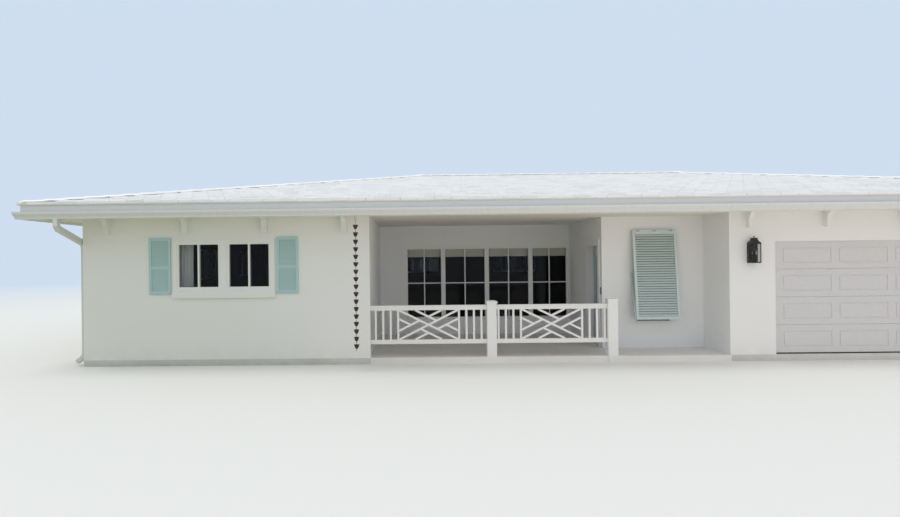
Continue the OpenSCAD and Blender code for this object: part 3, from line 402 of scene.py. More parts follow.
# Painted shade: dark specks in the band just under the first course of tiles.
shade_speck = place.noise(9.0, 3.0, 0.6).band(0.56, 0.66) * (height.band(*shade_specks_begin) * (1.0 - height.band(*shade_specks_end)))
finish(bed, {
    "Base Color": (shade_speck * 0.7).blend(grit.blend(bed_dark, bed_pale), bed_shade_speck),
    "Roughness": 0.88,
    "Normal": grit.bump(0.5, 0.003),
})
dress(bed, "roof_front", "roof_right", "roof_back", "roof_left")


def tile_row(rng, y, z, row_w, shifted, hook):
    """One course of tiles that faces the street, its butt edge at this y and z, each tile a little out of true."""
    row = bmesh.new()
    tone_layer = row.faces.layers.float.new("tile_tone")
    y_top = y + course_run
    z_top = z + course_run * roof_pitch - course_step
    count = math.ceil(row_w / tile_w) + 2
    x = -row_w / 2 - tile_w * (1.0 if shifted else 0.5) - rng.uniform(0.0, row_slide)
    outline = [(y - tile_out, z - hook), (y - tile_out, z + tile_t - tile_round),
               (y - tile_out + tile_round, z + tile_t), (y_top - air, z_top + tile_t),
               (y_top - air, z_top + air), (y - air, z + air), (y - air, z - hook)]
    extruded(row, outline, x, x + tile_w - tile_joint)
    corners = [e for e in row.edges if all(abs(v.co.y - y + tile_out) < 1e-6 for v in e.verts)
               and abs(e.verts[0].co.x - e.verts[1].co.x) < 1e-6]
    bevelled(row, corners, tile_corner)
    bmesh.ops.recalc_face_normals(row, faces=row.faces[:])
    bmesh.ops.spin(row, geom=all_of(row), cent=(0, 0, 0), axis=(0, 0, 1), dvec=(tile_w, 0, 0), angle=0.0,
                   steps=count - 1, use_duplicate=True)
    lifts = [rng.uniform(0.0, tile_lift) for i in range(count)]
    rolls = [rng.gauss(0.0, tile_roll) for i in range(count)]
    slides = [rng.uniform(-tile_slide, tile_slide) for i in range(count)]
    tones = [rng.random() ** 2 for i in range(count)]
    row.normal_update()
    # Each face takes its tile's random tone; a top face also takes a share of painted shade.
    for face in row.faces:
        top_shade = top_shade_share if face.normal.z > 0.5 else 0.0
        face[tone_layer] = top_shade + (1.0 - top_shade_share) * tones[int((face.calc_center_median().x - x) / tile_w)]
    for v in row.verts:
        i = int((v.co.x - x + air) / tile_w)
        v.co.z += lifts[i] * (1.0 - (v.co.y - y) / course_run)
        v.co.z += rolls[i] * ((v.co.x - x) / tile_w - i - 0.5) * 2
        v.co.y += slides[i]
    return row


for name, half_w, half_d, turn in (("roof_tiles_front", eave_x, eave_y, 0.0),
                                   ("roof_tiles_right", eave_y, eave_x, math.pi / 2),
                                   ("roof_tiles_back", eave_x, eave_y, math.pi),
                                   ("roof_tiles_left", eave_y, eave_x, -math.pi / 2)):
    rng = random.Random(name)
    slope = bmesh.new()
    slope.faces.layers.float.new("tile_tone")
    for course in range(course_count):
        run = course * course_run
        hook = course_step - tile_t - hook_clear if course else eave_hook
        add_part(slope, tile_row(rng, run - half_d, roof_z + run * roof_pitch, 2 * (half_w - run), course % 2, hook))
    for sign in (1, -1):
        cut = bmesh.ops.bisect_plane(slope, geom=all_of(slope), dist=1e-6, clear_outer=True,
                                     plane_co=(sign * (half_w - hip_gap), -half_d, 0), plane_no=(sign, 1, 0))
        bmesh.ops.edgeloop_fill(slope, edges=[e for e in cut["geom_cut"] if isinstance(e, bmesh.types.BMEdge)])
    bmesh.ops.rotate(slope, verts=slope.verts[:], cent=(0, 0, 0), matrix=Matrix.Rotation(turn, 3, "Z"))
    new_piece(name, slope, coated)


# Hip and ridge caps
# Arched concrete cap tiles under the same coating, bedded in mortar and lapped upwards from the corners.
# Each rests on the one below it, so that the row shows a small step at every lap.
cap_half_w = 0.135
cap_rise = 0.030
cap_t = 0.012
cap_long = 0.395
cap_pitch = 0.34
cap_under = 0.011
cap_lift = 0.016
cap_edge = 0.004
cap_facets = 8
cap_turn = 0.006
cap_slide = 0.006
mortar_half_w = 0.112
mortar_h = 0.012
mortar_depth = 0.035
ridge_overrun = 0.06
hip_start = 0.066
foot_size = (0.085, 0.135, 0.052)
foot_place = Matrix.Translation((0.05, 0, -0.014))
joint_size = (0.19, 0.19, 0.040)
cap_radius = (cap_half_w ** 2 + cap_rise ** 2) / (2 * cap_rise)
cap_angle = math.asin(cap_half_w / cap_radius)

mortar, place = new_material("cap_mortar")
grit = place.noise(70.0, 4.0, 0.7)
finish(mortar, {
    "Base Color": grit.blend((0.52, 0.51, 0.50), (0.76, 0.76, 0.75)),
    "Roughness": 0.9,
    "Normal": grit.bump(0.7, 0.004),
})

peak = Vector((eave_x - eave_y, 0.0, roof_z + eave_y * roof_pitch))
corner = Vector((eave_x, -eave_y, roof_z))
climb = (peak - corner).normalized()
over_hip = Vector((-1.0, -1.0, 0.0)).normalized()
hip_frame = Matrix.Translation(corner + climb * hip_start) \
    @ Matrix((climb, over_hip, climb.cross(over_hip))).transposed().to_4x4()
hip_long = (peak - corner).length - hip_start


def cap_row(length, seed):
    """A row of lapped caps that starts at the origin and runs along X."""
    rng = random.Random(seed)
    row = bmesh.new()
    count = round((length - cap_long) / cap_pitch) + 1
    pitch = (length - cap_long) / (count - 1)
    row.faces.new([row.verts.new((x, 0, cap_under + h)) for x, h in
                   ((0, 0), (0, cap_t), (cap_long, cap_t), (cap_long, 0))])
    centre = Vector((0, 0, cap_under - cap_radius))
    bmesh.ops.rotate(row, verts=row.verts[:], cent=centre, matrix=Matrix.Rotation(-cap_angle, 3, "X"))
    bmesh.ops.spin(row, geom=all_of(row), cent=centre, axis=(1, 0, 0), dvec=(0, 0, 0), angle=2 * cap_angle,
                   steps=cap_facets, use_duplicate=False)
    bmesh.ops.recalc_face_normals(row, faces=row.faces[:])
    lip = [e for e in row.edges if all(abs(v.co.x) < 1e-4 for v in e.verts) and e.calc_face_angle() > 1.2]
    bevelled(row, lip, cap_edge)
    bmesh.ops.rotate(row, verts=row.verts[:], cent=(cap_long, 0, 0),
                     matrix=Matrix.Rotation(math.atan(cap_lift / cap_long), 3, "Y"))
    one = all_of(row)
    for i in range(1, count):
        verts = verts_of(bmesh.ops.duplicate(row, geom=one)["geom"])
        bmesh.ops.rotate(row, verts=verts, cent=(cap_long / 2, 0, 0),
                         matrix=Matrix.Rotation(rng.gauss(0.0, cap_turn), 3, "Z"))
        bmesh.ops.translate(row, vec=(i * pitch + rng.uniform(-cap_slide, cap_slide), 0, 0), verts=verts)
    return row


def mortar_row(length):
    """The mortar that fills the space under a row of caps."""
    row = bmesh.new()
    edge = [(-mortar_half_w, -mortar_depth), (mortar_half_w, -mortar_depth), (mortar_half_w, 0),
            (mortar_half_w / 2, mortar_h / 2), (0, mortar_h), (-mortar_half_w / 2, mortar_h / 2),
            (-mortar_half_w, 0)]
    extruded(row, edge, cap_long / 8, length - cap_long / 8)
    return row


def rounded_stop(mesh, place, size):
    """Adds an ellipsoid, half sunk in the roof, where rows of caps end or meet."""
    ball = bmesh.ops.create_uvsphere(mesh, u_segments=24, v_segments=12, radius=1.0)["verts"]
    bmesh.ops.transform(mesh, matrix=place @ Matrix.Diagonal((*size, 1.0)), verts=ball)


def lay(row, whole, place):
    """Sets a row on the roof, its faces outwards also where the place mirrors it."""
    bmesh.ops.transform(row, matrix=place, verts=row.verts[:])
    bmesh.ops.recalc_face_normals(row, faces=row.faces[:])
    add_part(whole, row)


hip_tiles, ridge_tiles, cap_bed = bmesh.new(), bmesh.new(), bmesh.new()
for sign_x, sign_y in ((1, 1), (1, -1), (-1, 1), (-1, -1)):
    hip = cap_row(hip_long, "hip %d %d" % (sign_x, sign_y))
    rounded_stop(hip, foot_place, foot_size)
    for row, whole in ((hip, hip_tiles), (mortar_row(hip_long), cap_bed)):
        lay(row, whole, Matrix.Diagonal((sign_x, sign_y, 1, 1)) @ hip_frame)
ridge_long = 2 * (peak.x + ridge_overrun)
for row, whole in ((cap_row(ridge_long, "ridge"), ridge_tiles), (mortar_row(ridge_long), cap_bed)):
    lay(row, whole, Matrix.Translation((-peak.x - ridge_overrun, 0, peak.z)))
for sign in (1, -1):
    rounded_stop(ridge_tiles, Matrix.Translation((sign * peak.x, 0, peak.z)), joint_size)
hip_row = new_piece("hip_cap_tiles", hip_tiles, coated)
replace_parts(hip_row, "hip_caps")
ridge_row = new_piece("ridge_cap_tiles", ridge_tiles, coated)
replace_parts(ridge_row, "ridge_caps")
new_piece("cap_mortar_bed", cap_bed, mortar)


# Painted timber trim
# Fascia, brackets, casings, window frames, railing and door frame, nailed up and painted with a brush.
# White satin, brushed along the grain.
satin, place = new_material("white_satin_trim")
brush = place.noise(30.0, 4.0, 0.6, (0.12, 1.0, 1.0))
cloud = place.noise(1.9, 4.0, 0.6)
dirt = place.noise(11.0, 5.0, 0.7).band(0.6, 0.82)
finish(satin, {
    "Base Color": (dirt * 0.22 + cloud * 0.16).blend((0.86, 0.86, 0.855), (0.70, 0.69, 0.66)),
    "Roughness": 0.34 + brush * 0.16,
    "Normal": (brush + cloud * 0.4).bump(0.25, 0.0015),
})
dress(satin, "fascia", "eave_brackets", "twin_window_frames", "porch_window_frame", "entry_window_frame",
      "door_frame", "railing_left", "railing_right", "newel_post")


# Gutters and downspouts
# Roll-formed aluminium in white baked enamel, with the faint streaks that rain leaves below the lip.
enamel, place = new_material("white_gutter_enamel")
streak = place.noise(16.0, 4.0, 0.6, (1.0, 1.0, 0.07)).band(0.5, 0.78)
cloud = place.noise(2.6, 4.0, 0.6)
# The enamel is painted greyer than the white trim, as painted shade on the gutter faces; the streaks below the lip
# are rain marks.
finish(enamel, {
    "Base Color": (streak * 0.3 + cloud * 0.12).blend((0.73, 0.735, 0.73), (0.54, 0.54, 0.51)),
    "Roughness": 0.30 + cloud * 0.15,
    "Normal": place.noise(3.5, 2.0, 0.5).bump(0.2, 0.004),
})
dress(enamel, "gutter_front", "gutter_right", "gutter_back", "gutter_left", "downspouts")


# Rain chain
# Seventeen spun bronze cups on small wire rings, hung from the gutter by two wires that meet in a ring.
cup_count = 17
cup_pitch = 0.133
cup_mouth = 0.049
cup_h = 0.074
cup_sheet = 0.0018
cup_flutes = 8
flute_depth = 0.05
turn_steps = 24
ring_w = 0.008
ring_h = 0.015
ring_wire = 0.0016
ring_steps = 14
ring_drops = (0.012, 0.034)
bail_drop = 0.046
bail_wire = 0.0013
bail_reach = cup_mouth * 0.9
hang_wire = 0.0018
link_wire = 0.0022
first_rim_drop = 0.170
wire_spread = 0.021
wire_drop = 0.117
cup_twist = 0.5
low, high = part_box("rain_chain")
chain_x, chain_y, chain_z = (low[0] + high[0]) / 2, (low[1] + high[1]) / 2, high[2]

bronze, place = new_material("dark_bronze")
patina = place.noise(34.0, 4.0, 0.65).band(0.45, 0.75)
finish(bronze, {
    "Base Color": patina.blend((0.050, 0.030, 0.022), (0.115, 0.080, 0.055)),
    "Roughness": 0.36 + patina * 0.3,
    "Metallic": 0.7 - patina * 0.35,
    "Normal": place.noise(90.0, 3.0, 0.6).bump(0.3, 0.0008),
})


def rod(mesh, start, end, radius, sides=8):
    """Adds a straight round rod between two points."""
    start, end = Vector(start), Vector(end)
    turn = (end - start).to_track_quat("Z", "Y").to_matrix().to_4x4()
    bmesh.ops.create_cone(mesh, cap_ends=True, segments=sides, radius1=radius, radius2=radius,
                          depth=(end - start).length, matrix=Matrix.Translation((start + end) / 2) @ turn)


def spun(mesh, axis, steps):
    """Turns what a bmesh holds once round an axis through the origin, and closes it."""
    bmesh.ops.spin(mesh, geom=mesh.verts[:] + mesh.edges[:], cent=(0, 0, 0), axis=axis, dvec=(0, 0, 0),
                   angle=2 * math.pi, steps=steps, use_merge=True, use_duplicate=False)
    bmesh.ops.remove_doubles(mesh, verts=mesh.verts[:], dist=1e-5)
    bmesh.ops.recalc_face_normals(mesh, faces=mesh.faces[:])


def turned(mesh, profile, centre):
    """Adds a shape turned on an upright axis from half widths and heights, closed at both ends."""
    part = bmesh.new()
    line = [part.verts.new((r, 0, z)) for r, z in profile]
    for pair in zip(line, line[1:]):
        part.edges.new(pair)
    spun(part, (0, 0, 1), turn_steps)
    add_part(mesh, part, Matrix.Translation(centre))


def wire_ring(mesh, centre, half_w, half_h, turn):
    """Adds an upright oval ring of wire, turned about its height."""
    ring = bmesh.new()
    bmesh.ops.create_circle(ring, segments=6, radius=ring_wire, matrix=Matrix.Translation((half_w, 0, 0)))
    spun(ring, (0, 1, 0), ring_steps)
    add_part(mesh, ring, Matrix.Translation(centre) @ Matrix.Rotation(turn, 4, "Z")
             @ Matrix.Diagonal((1, 1, half_h / half_w, 1)))


chain = bmesh.new()
turned(chain, [(0.0, -cup_h), (0.016, -cup_h), (0.021, -0.066), (0.033, -0.046), (0.041, -0.024), (0.044, -0.008),
               (cup_mouth, 0.0), (cup_mouth - 0.001, 0.0015), (0.044 - cup_sheet, -0.006),
               (0.041 - cup_sheet, -0.024), (0.033 - cup_sheet, -0.045), (0.019, -0.064), (0.0, -0.071)], (0, 0, 0))
for v in chain.verts:
    share = math.hypot(v.co.x, v.co.y) / cup_mouth
    around = 0.5 - 0.5 * math.cos(cup_flutes * math.atan2(v.co.y, v.co.x))
    wave = 1.0 - flute_depth * share ** 2 * around
    v.co.x, v.co.y = v.co.x * wave, v.co.y * wave
for drop, turn in zip(ring_drops, (0.0, math.pi / 2)):
    wire_ring(chain, (0, 0, -cup_h - drop), ring_w, ring_h, turn)
rod(chain, (0, 0, -cup_h + 0.001), (0, 0, -cup_h - 0.001), 0.006, 10)
last_cup = all_of(chain)
rod(chain, (0, 0, -cup_h - bail_drop), (0, 0, -cup_pitch), link_wire)
for side in (1, -1):
    rod(chain, (0, 0, -cup_h - bail_drop), (side * bail_reach, 0, -cup_pitch - 0.003), bail_wire)
one_cup = all_of(chain)
rng = random.Random("chain")
for i in range(1, cup_count):
    made = verts_of(bmesh.ops.duplicate(chain, geom=one_cup if i < cup_count - 1 else last_cup)["geom"])
    bmesh.ops.rotate(chain, verts=made, cent=(0, 0, 0),
                     matrix=Matrix.Rotation(rng.uniform(-cup_twist, cup_twist), 3, "Z"))
    bmesh.ops.translate(chain, vec=(0, 0, -i * cup_pitch), verts=made)
first_rim = chain_z - first_rim_drop
bmesh.ops.translate(chain, vec=(chain_x, chain_y, first_rim), verts=chain.verts[:])
meet = (chain_x, chain_y, chain_z - wire_drop)
for side in (1, -1):
    rod(chain, (chain_x + side * wire_spread, chain_y, chain_z), meet, hang_wire)
    rod(chain, (chain_x, chain_y, first_rim + 0.026), (chain_x + side * bail_reach, chain_y, first_rim - 0.003),
        bail_wire)
rod(chain, meet, (chain_x, chain_y, first_rim + 0.024), hang_wire)
hung = new_piece("rain_chain_cups", chain, bronze, smooth=True)
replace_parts(hung, "rain_chain")


# Window glass
# Clear float glass on the street side and in the front door, over unlit rooms; its near-black colour is painted shade
# of those rooms, so that it reads dark.
# The sides and the back have glass made near-opaque and dark, as painted shade of the unlit rooms.
# Beyond these sides, and at the back, the glass is made near-opaque and dark as painted shade.
shade_glass_beyond = 10.2
pane, place = new_material("window_pane")
dust = place.noise(3.0, 4.0, 0.6)
at_side = place.axis("X").math("ABSOLUTE").math("GREATER_THAN", shade_glass_beyond)
far_side = at_side.math("MAXIMUM", place.axis("Y").math("GREATER_THAN", 0.0))
finish(pane, {
    "Base Color": (dust.band(0.55, 0.85) * 0.25).blend((0.012, 0.013, 0.017), (0.07, 0.07, 0.07)),
    "Roughness": 0.02 + dust * 0.04,
    "IOR": 1.5,
    "Alpha": 0.14 + far_side * 0.80,
    "Normal": place.noise(1.4, 1.0, 0.5).bump(0.12, 0.004),
})
dress(pane, "window_glass", "front_door_glass")


# Curtain
# Unlined cotton, drawn to the left behind the front twin window, gathered on rings on a slim white rod.
# The rod rests in three small brackets screwed to the wall's room side.
wall_t = 0.2
room_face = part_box("left_wing_front_wall")[0][1] + wall_t
curtain_flat = (0.80, 1.0)
curtain_w = 0.315
curtain_left = -8.665
curtain_top = 2.405
curtain_t = 0.0014
curtain_threads = 2600.0
pleat_count = 6
pleat_depth = 0.016
hem_flare = 0.012
hem_sway = 0.012
hem_wave = 0.004
rod_y = room_face + 0.055
rod_z = 2.432
rod_r = 0.009
rod_ends = (-8.74, -6.62)
knob_r = 0.017
bracket_in = 0.03


def plain_weave(across, along, threads):
    """The height of a plain weave from its threads across and along."""
    warp, weft = ((axis * threads).math("SINE").math("ABSOLUTE") for axis in (across, along))
    return warp * weft


def flat_cloth(size, across, down):
    """A flat upright sheet that hangs from z = 0, with its own weave direction laid on in metres."""
    made = bmesh.new()
    weave = made.loops.layers.uv.new("weave")
    grid = bmesh.ops.create_grid(made, x_segments=across, y_segments=down, size=0.5)["verts"]
    bmesh.ops.transform(made, matrix=Matrix.Rotation(math.pi / 2, 4, "X") @ Matrix.Diagonal((*size, 1, 1)),
                        verts=grid)
    bmesh.ops.translate(made, vec=(size[0] / 2, 0, -size[1] / 2), verts=grid)
    for face in made.faces:
        for loop in face.loops:
            loop[weave].uv = (loop.vert.co.x, loop.vert.co.z)
    return made


def thicken(piece, thickness):
    """Gives a single sheet its thickness."""
    solid = piece.modifiers.new("thickness", "SOLIDIFY")
    solid.thickness = thickness
    solid.offset = 0.0


def bar(mesh, low, high, edge):
    """Adds a straight bar between two corners, its edges rounded over."""
    low, high = Vector(low), Vector(high)
    part = bmesh.new()
    bmesh.ops.create_cube(part, size=1.0, matrix=Matrix.Translation((low + high) / 2)
                          @ Matrix.Diagonal((*(high - low), 1.0)))
    bevelled(part, part.edges[:], edge, 2)
    add_part(mesh, part)


cotton, place = new_material("curtain_cotton", "UV")
slub = place.noise(60.0, 3.0, 0.6, (1.0, 0.06, 1.0))
finish(cotton, {
    "Base Color": (slub * 0.4).blend((0.87, 0.92, 0.93), (0.74, 0.82, 0.83)),
    "Roughness": 0.9,
    "Sheen Weight": 0.2,
    "Normal": (plain_weave(place.axis("X"), place.axis("Y"), curtain_threads) + slub).bump(0.4, 0.0008),
})

drape = flat_cloth(curtain_flat, 120, 24)
for v in drape.verts:
    along, fall = v.co.x / curtain_flat[0], -v.co.z / curtain_flat[1]
    swing = 2 * math.pi * pleat_count * along + 0.5 * math.sin(3.0 * fall + 4.0 * along)
    depth = (pleat_depth + hem_flare * fall) * (1.0 + 0.25 * math.sin(9.0 * along))
    sway = hem_sway * fall * math.sin(swing * 2 + 1.0)
    v.co.x = curtain_left + curtain_w * (along + sway) - hem_sway * fall
    v.co.y = rod_y + depth * math.sin(swing)
    v.co.z = curtain_top + v.co.z + hem_wave * math.sin(swing + 0.6) * fall
curtain = new_piece("twin_window_curtain", drape, cotton, smooth=True)
thicken(curtain, curtain_t)

pole = bmesh.new()
rod(pole, (rod_ends[0], rod_y, rod_z), (rod_ends[1], rod_y, rod_z), rod_r, 16)
for end in rod_ends:
    knob = bmesh.ops.create_uvsphere(pole, u_segments=16, v_segments=10, radius=knob_r)["verts"]
    bmesh.ops.translate(pole, vec=(end, rod_y, rod_z), verts=knob)
for x in (rod_ends[0] + bracket_in, (rod_ends[0] + rod_ends[1]) / 2, rod_ends[1] - bracket_in):
    bar(pole, (x - 0.006, room_face, rod_z - 0.008), (x + 0.006, rod_y, rod_z + 0.004), 0.002)
    bar(pole, (x - 0.014, room_face, rod_z - 0.035), (x + 0.014, room_face + 0.004, rod_z + 0.035), 0.0015)
for i in range(2 * pleat_count):
    x = curtain_left + curtain_w * (i + 0.5) / (2 * pleat_count)
    wire_ring(pole, (x, rod_y, rod_z - 0.007), 0.016, 0.018, math.pi / 2)
curtain_rod = new_piece("curtain_rod", pole, satin, smooth=True)


# Roller shades
# One pale shade in the head of each unit of the porch window row, let down a hand's breadth, with a bar in its hem.
# Each rolls on its own tube between two small end plates.
low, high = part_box("porch_window_frame")
unit_w = (0.84, 0.9875, 0.9875, 0.84)
frame_edge = 0.045
mullion = 0.105
shade_r = 0.019
shade_drop = 0.215
shade_over = 0.015
shade_t = 0.0008
shade_lap = 0.001
shade_threads = 1900.0
shade_y = (low[1] + high[1]) / 2 + 0.069
shade_z = high[2] - shade_r - 0.003
wrap = math.pi / 2 * shade_r
hem_r = 0.006
hem_in = 0.004
plate_t = 0.003

shade_cloth, place = new_material("shade_fabric", "UV")
slub = place.noise(40.0, 3.0, 0.6, (0.05, 1.0, 1.0))
finish(shade_cloth, {
    "Base Color": (slub * 0.35).blend((0.88, 0.87, 0.74), (0.76, 0.76, 0.64)),
    "Roughness": 0.85,
    "Normal": (plain_weave(place.axis("X"), place.axis("Y"), shade_threads) + slub).bump(0.35, 0.0008),
})

tubes = bmesh.new()
shades = []
x = low[0] + frame_edge
for i, width in enumerate(unit_w):
    start, end = x - shade_over, x + width + shade_over
    hung = flat_cloth((width + 2 * shade_over, wrap + shade_drop), 12, 24)
    for v in hung.verts:
        run = -v.co.z
        turn = min(run / shade_r, math.pi / 2)
        v.co.x += start
        v.co.y = shade_y - shade_r * math.sin(turn) - shade_lap
        v.co.z = shade_z + shade_r * math.cos(turn) - max(0.0, run - wrap)
    shades.append(new_piece("porch_roller_shade_%d" % (i + 1), hung, shade_cloth, smooth=True))
    thicken(shades[-1], shade_t)
    rod(tubes, (start, shade_y, shade_z), (end, shade_y, shade_z), shade_r - shade_lap, 24)
    hem_y, hem_z = shade_y - shade_r - shade_lap, shade_z - shade_drop
    rod(tubes, (start + hem_in, hem_y, hem_z), (end - hem_in, hem_y, hem_z), hem_r, 12)
    for plate in (start - plate_t, end):
        bar(tubes, (plate, shade_y - shade_r, shade_z - 0.022), (plate + plate_t, shade_y + 0.02, high[2]), 0.001)
    x += width + mullion
shade_tubes = new_piece("shade_tubes", tubes, satin)


# Louvred shutters and the Bahama shutter
# Red cedar, mortised and louvred, in pale satin paint; the pair is screwed to the wall.
# The Bahama shutter hangs on three strap hinges and stands off on two timber props, with a dark woven sheet on its
# back as painted shade in the gaps between the slats.
def shutter_paint(name, fresh, chalked):
    """Satin paint, brushed along the slats and chalked by the sun."""
    paint, place = new_material(name)
    brush = place.noise(34.0, 4.0, 0.6, (0.14, 1.0, 1.0))
    cloud = place.noise(2.2, 4.0, 0.6)
    chalk = place.noise(9.0, 5.0, 0.7).band(0.55, 0.85)
    finish(paint, {
        "Base Color": (chalk * 0.3 + cloud * 0.2).blend(fresh, chalked),
        "Roughness": 0.42 + brush * 0.18,
        "Normal": (brush + cloud * 0.4).bump(0.3, 0.0015),
    })
    return paint


aqua = shutter_paint("pale_aqua_satin", (0.45, 0.63, 0.63), (0.56, 0.69, 0.68))
sage = shutter_paint("pale_sage_satin", (0.62, 0.72, 0.71), (0.69, 0.77, 0.75))
dress(sage, "bahama_props")

shutter_w = 0.412
shutter_t = 0.035
stile_w = 0.048
shutter_rail = 0.060
tenon = 0.001
rail_set_back = 0.0015
mid_rail_drop = 0.035
louvre_pitch, louvre_w, louvre_t, louvre_tilt = 0.032, 0.036, 0.006, math.radians(68)
bahama_w, bahama_l = 0.885, 1.797
bahama_pitch, bahama_slat_w, bahama_slat_t, bahama_tilt = 0.0505, 0.047, 0.007, math.radians(57)
foot_off = 0.190
entry_face = -5.55
hinge_out = 0.055
hinge_z = 2.507


def louvre_panel(w, h, rails, pitch, slat_w, slat_t, tilt, place):
    """A framed panel of overlapping slats, its back at y = 0, with a rail at each listed height."""
    panel = bmesh.new()
    for x in (0.0, w - stile_w):
        bar(panel, (x, -shutter_t, 0), (x + stile_w, 0, h), 0.003)
    for z in rails:
        bar(panel, (stile_w - tenon, -shutter_t + rail_set_back, z),
            (w - stile_w + tenon, -rail_set_back, z + shutter_rail), 0.002)
    slat = bmesh.new()
    bmesh.ops.create_cube(slat, size=1.0, matrix=Matrix.Diagonal((w - 2 * stile_w + 2 * tenon, slat_w, slat_t, 1.0)))
    long_edges = [e for e in slat.edges if abs(e.verts[0].co.x - e.verts[1].co.x) > 0.01]
    bevelled(slat, long_edges, slat_t * 0.4, 2)
    bmesh.ops.rotate(slat, verts=slat.verts[:], cent=(0, 0, 0), matrix=Matrix.Rotation(tilt, 3, "X"))
    for low_rail, high_rail in zip(rails, rails[1:]):
        start = low_rail + shutter_rail
        count = round((high_rail - start) / pitch)
        for k in range(count):
            z = start + (k + 0.5) * (high_rail - start) / count
            add_part(panel, slat.copy(), Matrix.Translation((w / 2, -shutter_t / 2, z)))
    slat.free()
    bmesh.ops.transform(panel, matrix=place, verts=panel.verts[:])
    return panel


low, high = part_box("louvred_shutters")
shutter_h = high[2] - low[2]
top_rail = shutter_h - shutter_rail
pair = bmesh.new()
for left in (low[0], high[0] - shutter_w):
    add_part(pair, louvre_panel(shutter_w, shutter_h, (0.0, top_rail / 2 - mid_rail_drop, top_rail), louvre_pitch,
                                louvre_w, louvre_t, louvre_tilt, Matrix.Translation((left, high[1], low[2]))))
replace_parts(new_piece("louvred_shutter_pair", pair, aqua), "louvred_shutters")

low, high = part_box("bahama_shutter")
bahama_left = (low[0] + high[0]) / 2 - bahama_w / 2
hang = Matrix.Translation((bahama_left, entry_face - hinge_out, hinge_z)) \
    @ Matrix.Rotation(-math.asin(foot_off / bahama_l), 4, "X") @ Matrix.Translation((0, 0, -bahama_l))
bahama = louvre_panel(bahama_w, bahama_l, (0.0, bahama_l - shutter_rail), bahama_pitch, bahama_slat_w,
                      bahama_slat_t, bahama_tilt, hang)
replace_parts(new_piece("bahama_louvre_panel", bahama, sage), "bahama_shutter")

# Painted shade: a dark woven sheet behind the Bahama slats, so that the gaps read dark.
shade_screen_cloth, place = new_material("painted_shade_screen_cloth")
mesh_weave = plain_weave(place.axis("X"), place.axis("Z"), 2200.0)
finish(shade_screen_cloth, {
    "Base Color": mesh_weave.blend((0.12, 0.14, 0.13), (0.20, 0.23, 0.21)),
    "Roughness": 0.8,
    "Normal": mesh_weave.bump(0.3, 0.0005),
})
shade_screen = bmesh.new()
bar(shade_screen, (stile_w - 0.006, -0.0012, 0.012), (bahama_w - stile_w + 0.006, 0.0008, bahama_l - 0.012), 0.0003)
bmesh.ops.transform(shade_screen, matrix=hang, verts=shade_screen.verts[:])
new_piece("bahama_painted_shade_screen", shade_screen, shade_screen_cloth)

steel, place = new_material("zinc_screw_heads")
dull = place.noise(300.0, 3.0, 0.6)
finish(steel, {
    "Base Color": dull.blend((0.50, 0.51, 0.52), (0.34, 0.34, 0.34)),
    "Roughness": 0.35 + dull * 0.3,
    "Metallic": 0.9,
    "Normal": dull.bump(0.2, 0.0004),
})


def stud(radius, face_radius, depth, sides, edge=0.0):
    """A round stud that looks up, with the rim of its face rounded."""
    part = bmesh.new()
    bmesh.ops.create_cone(part, cap_ends=True, segments=sides, radius1=radius, radius2=face_radius, depth=depth)
    if edge:
        bevelled(part, [e for e in part.edges if all(v.co.z > 0 for v in e.verts)], edge, 2)
    return part


def dome_screw(mesh, centre, radius):
    """Adds a dome head on a face that looks to the street."""
    add_part(mesh, stud(radius, radius * 0.55, radius * 0.5, 16, radius * 0.2),
             Matrix.Translation(centre) @ Matrix.Rotation(math.pi / 2, 4, "X"))


screw_in = 0.022
screw_end = 0.06
screws = bmesh.new()
low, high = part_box("louvred_shutters")
for left in (low[0], high[0] - shutter_w):
    for x in (left + screw_in, left + shutter_w - screw_in):
        for z in (low[2] + screw_end, high[2] - screw_end):
            dome_screw(screws, (x, low[1] - 0.001, z), 0.007)
low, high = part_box("bahama_props")
for x in (low[0] + 0.019, high[0] - 0.019):
    for z in (low[2] + 0.02, low[2] + 0.10):
        dome_screw(screws, (x, high[1] - 0.024, z), 0.005)
new_piece("shutter_screws", screws, steel, smooth=True)

low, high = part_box("bahama_shutter")
hinge_half_w = 0.032
strip_y = entry_face - hinge_out - shutter_t + 0.001
z = high[2] + 0.004
hinges = bmesh.new()
for share in (0.12, 0.5, 0.88):
    start, end = (low[0] + (high[0] - low[0]) * share + side * hinge_half_w for side in (-1, 1))
    rod(hinges, (start, strip_y - 0.002, z), (end, strip_y - 0.002, z), 0.0055, 12)
    bar(hinges, (start, strip_y - 0.0035, z), (end, strip_y - 0.0005, z + 0.018), 0.001)
new_piece("bahama_hinges", hinges, steel)


# Front door
# Painted timber leaf round one full pane, hung on three butt hinges, with brushed nickel lever and bolt.
# A raised moulding holds the pane on either side.
door_coat, place = new_material("pale_blue_door_satin")
brush = place.noise(26.0, 4.0, 0.6, (1.0, 1.0, 0.12))
cloud = place.noise(2.0, 4.0, 0.6)
finish(door_coat, {
    "Base Color": (cloud * 0.4).blend((0.36, 0.50, 0.55), (0.44, 0.56, 0.59)),
    "Roughness": 0.34 + brush * 0.16,
    "Normal": (brush + cloud * 0.3).bump(0.3, 0.0012),
})
dress(door_coat, "front_door")

nickel, place = new_material("brushed_nickel")
brushed = place.noise(420.0, 3.0, 0.6, (1.0, 1.0, 0.05))
finish(nickel, {
    "Base Color": brushed.blend((0.60, 0.58, 0.55), (0.48, 0.46, 0.43)),
    "Roughness": 0.24 + brushed * 0.2,
    "Metallic": 1.0,
    "Normal": brushed.bump(0.15, 0.0003),
})
dress(nickel, "door_handle", "frame_hinges", "leaf_hinges")

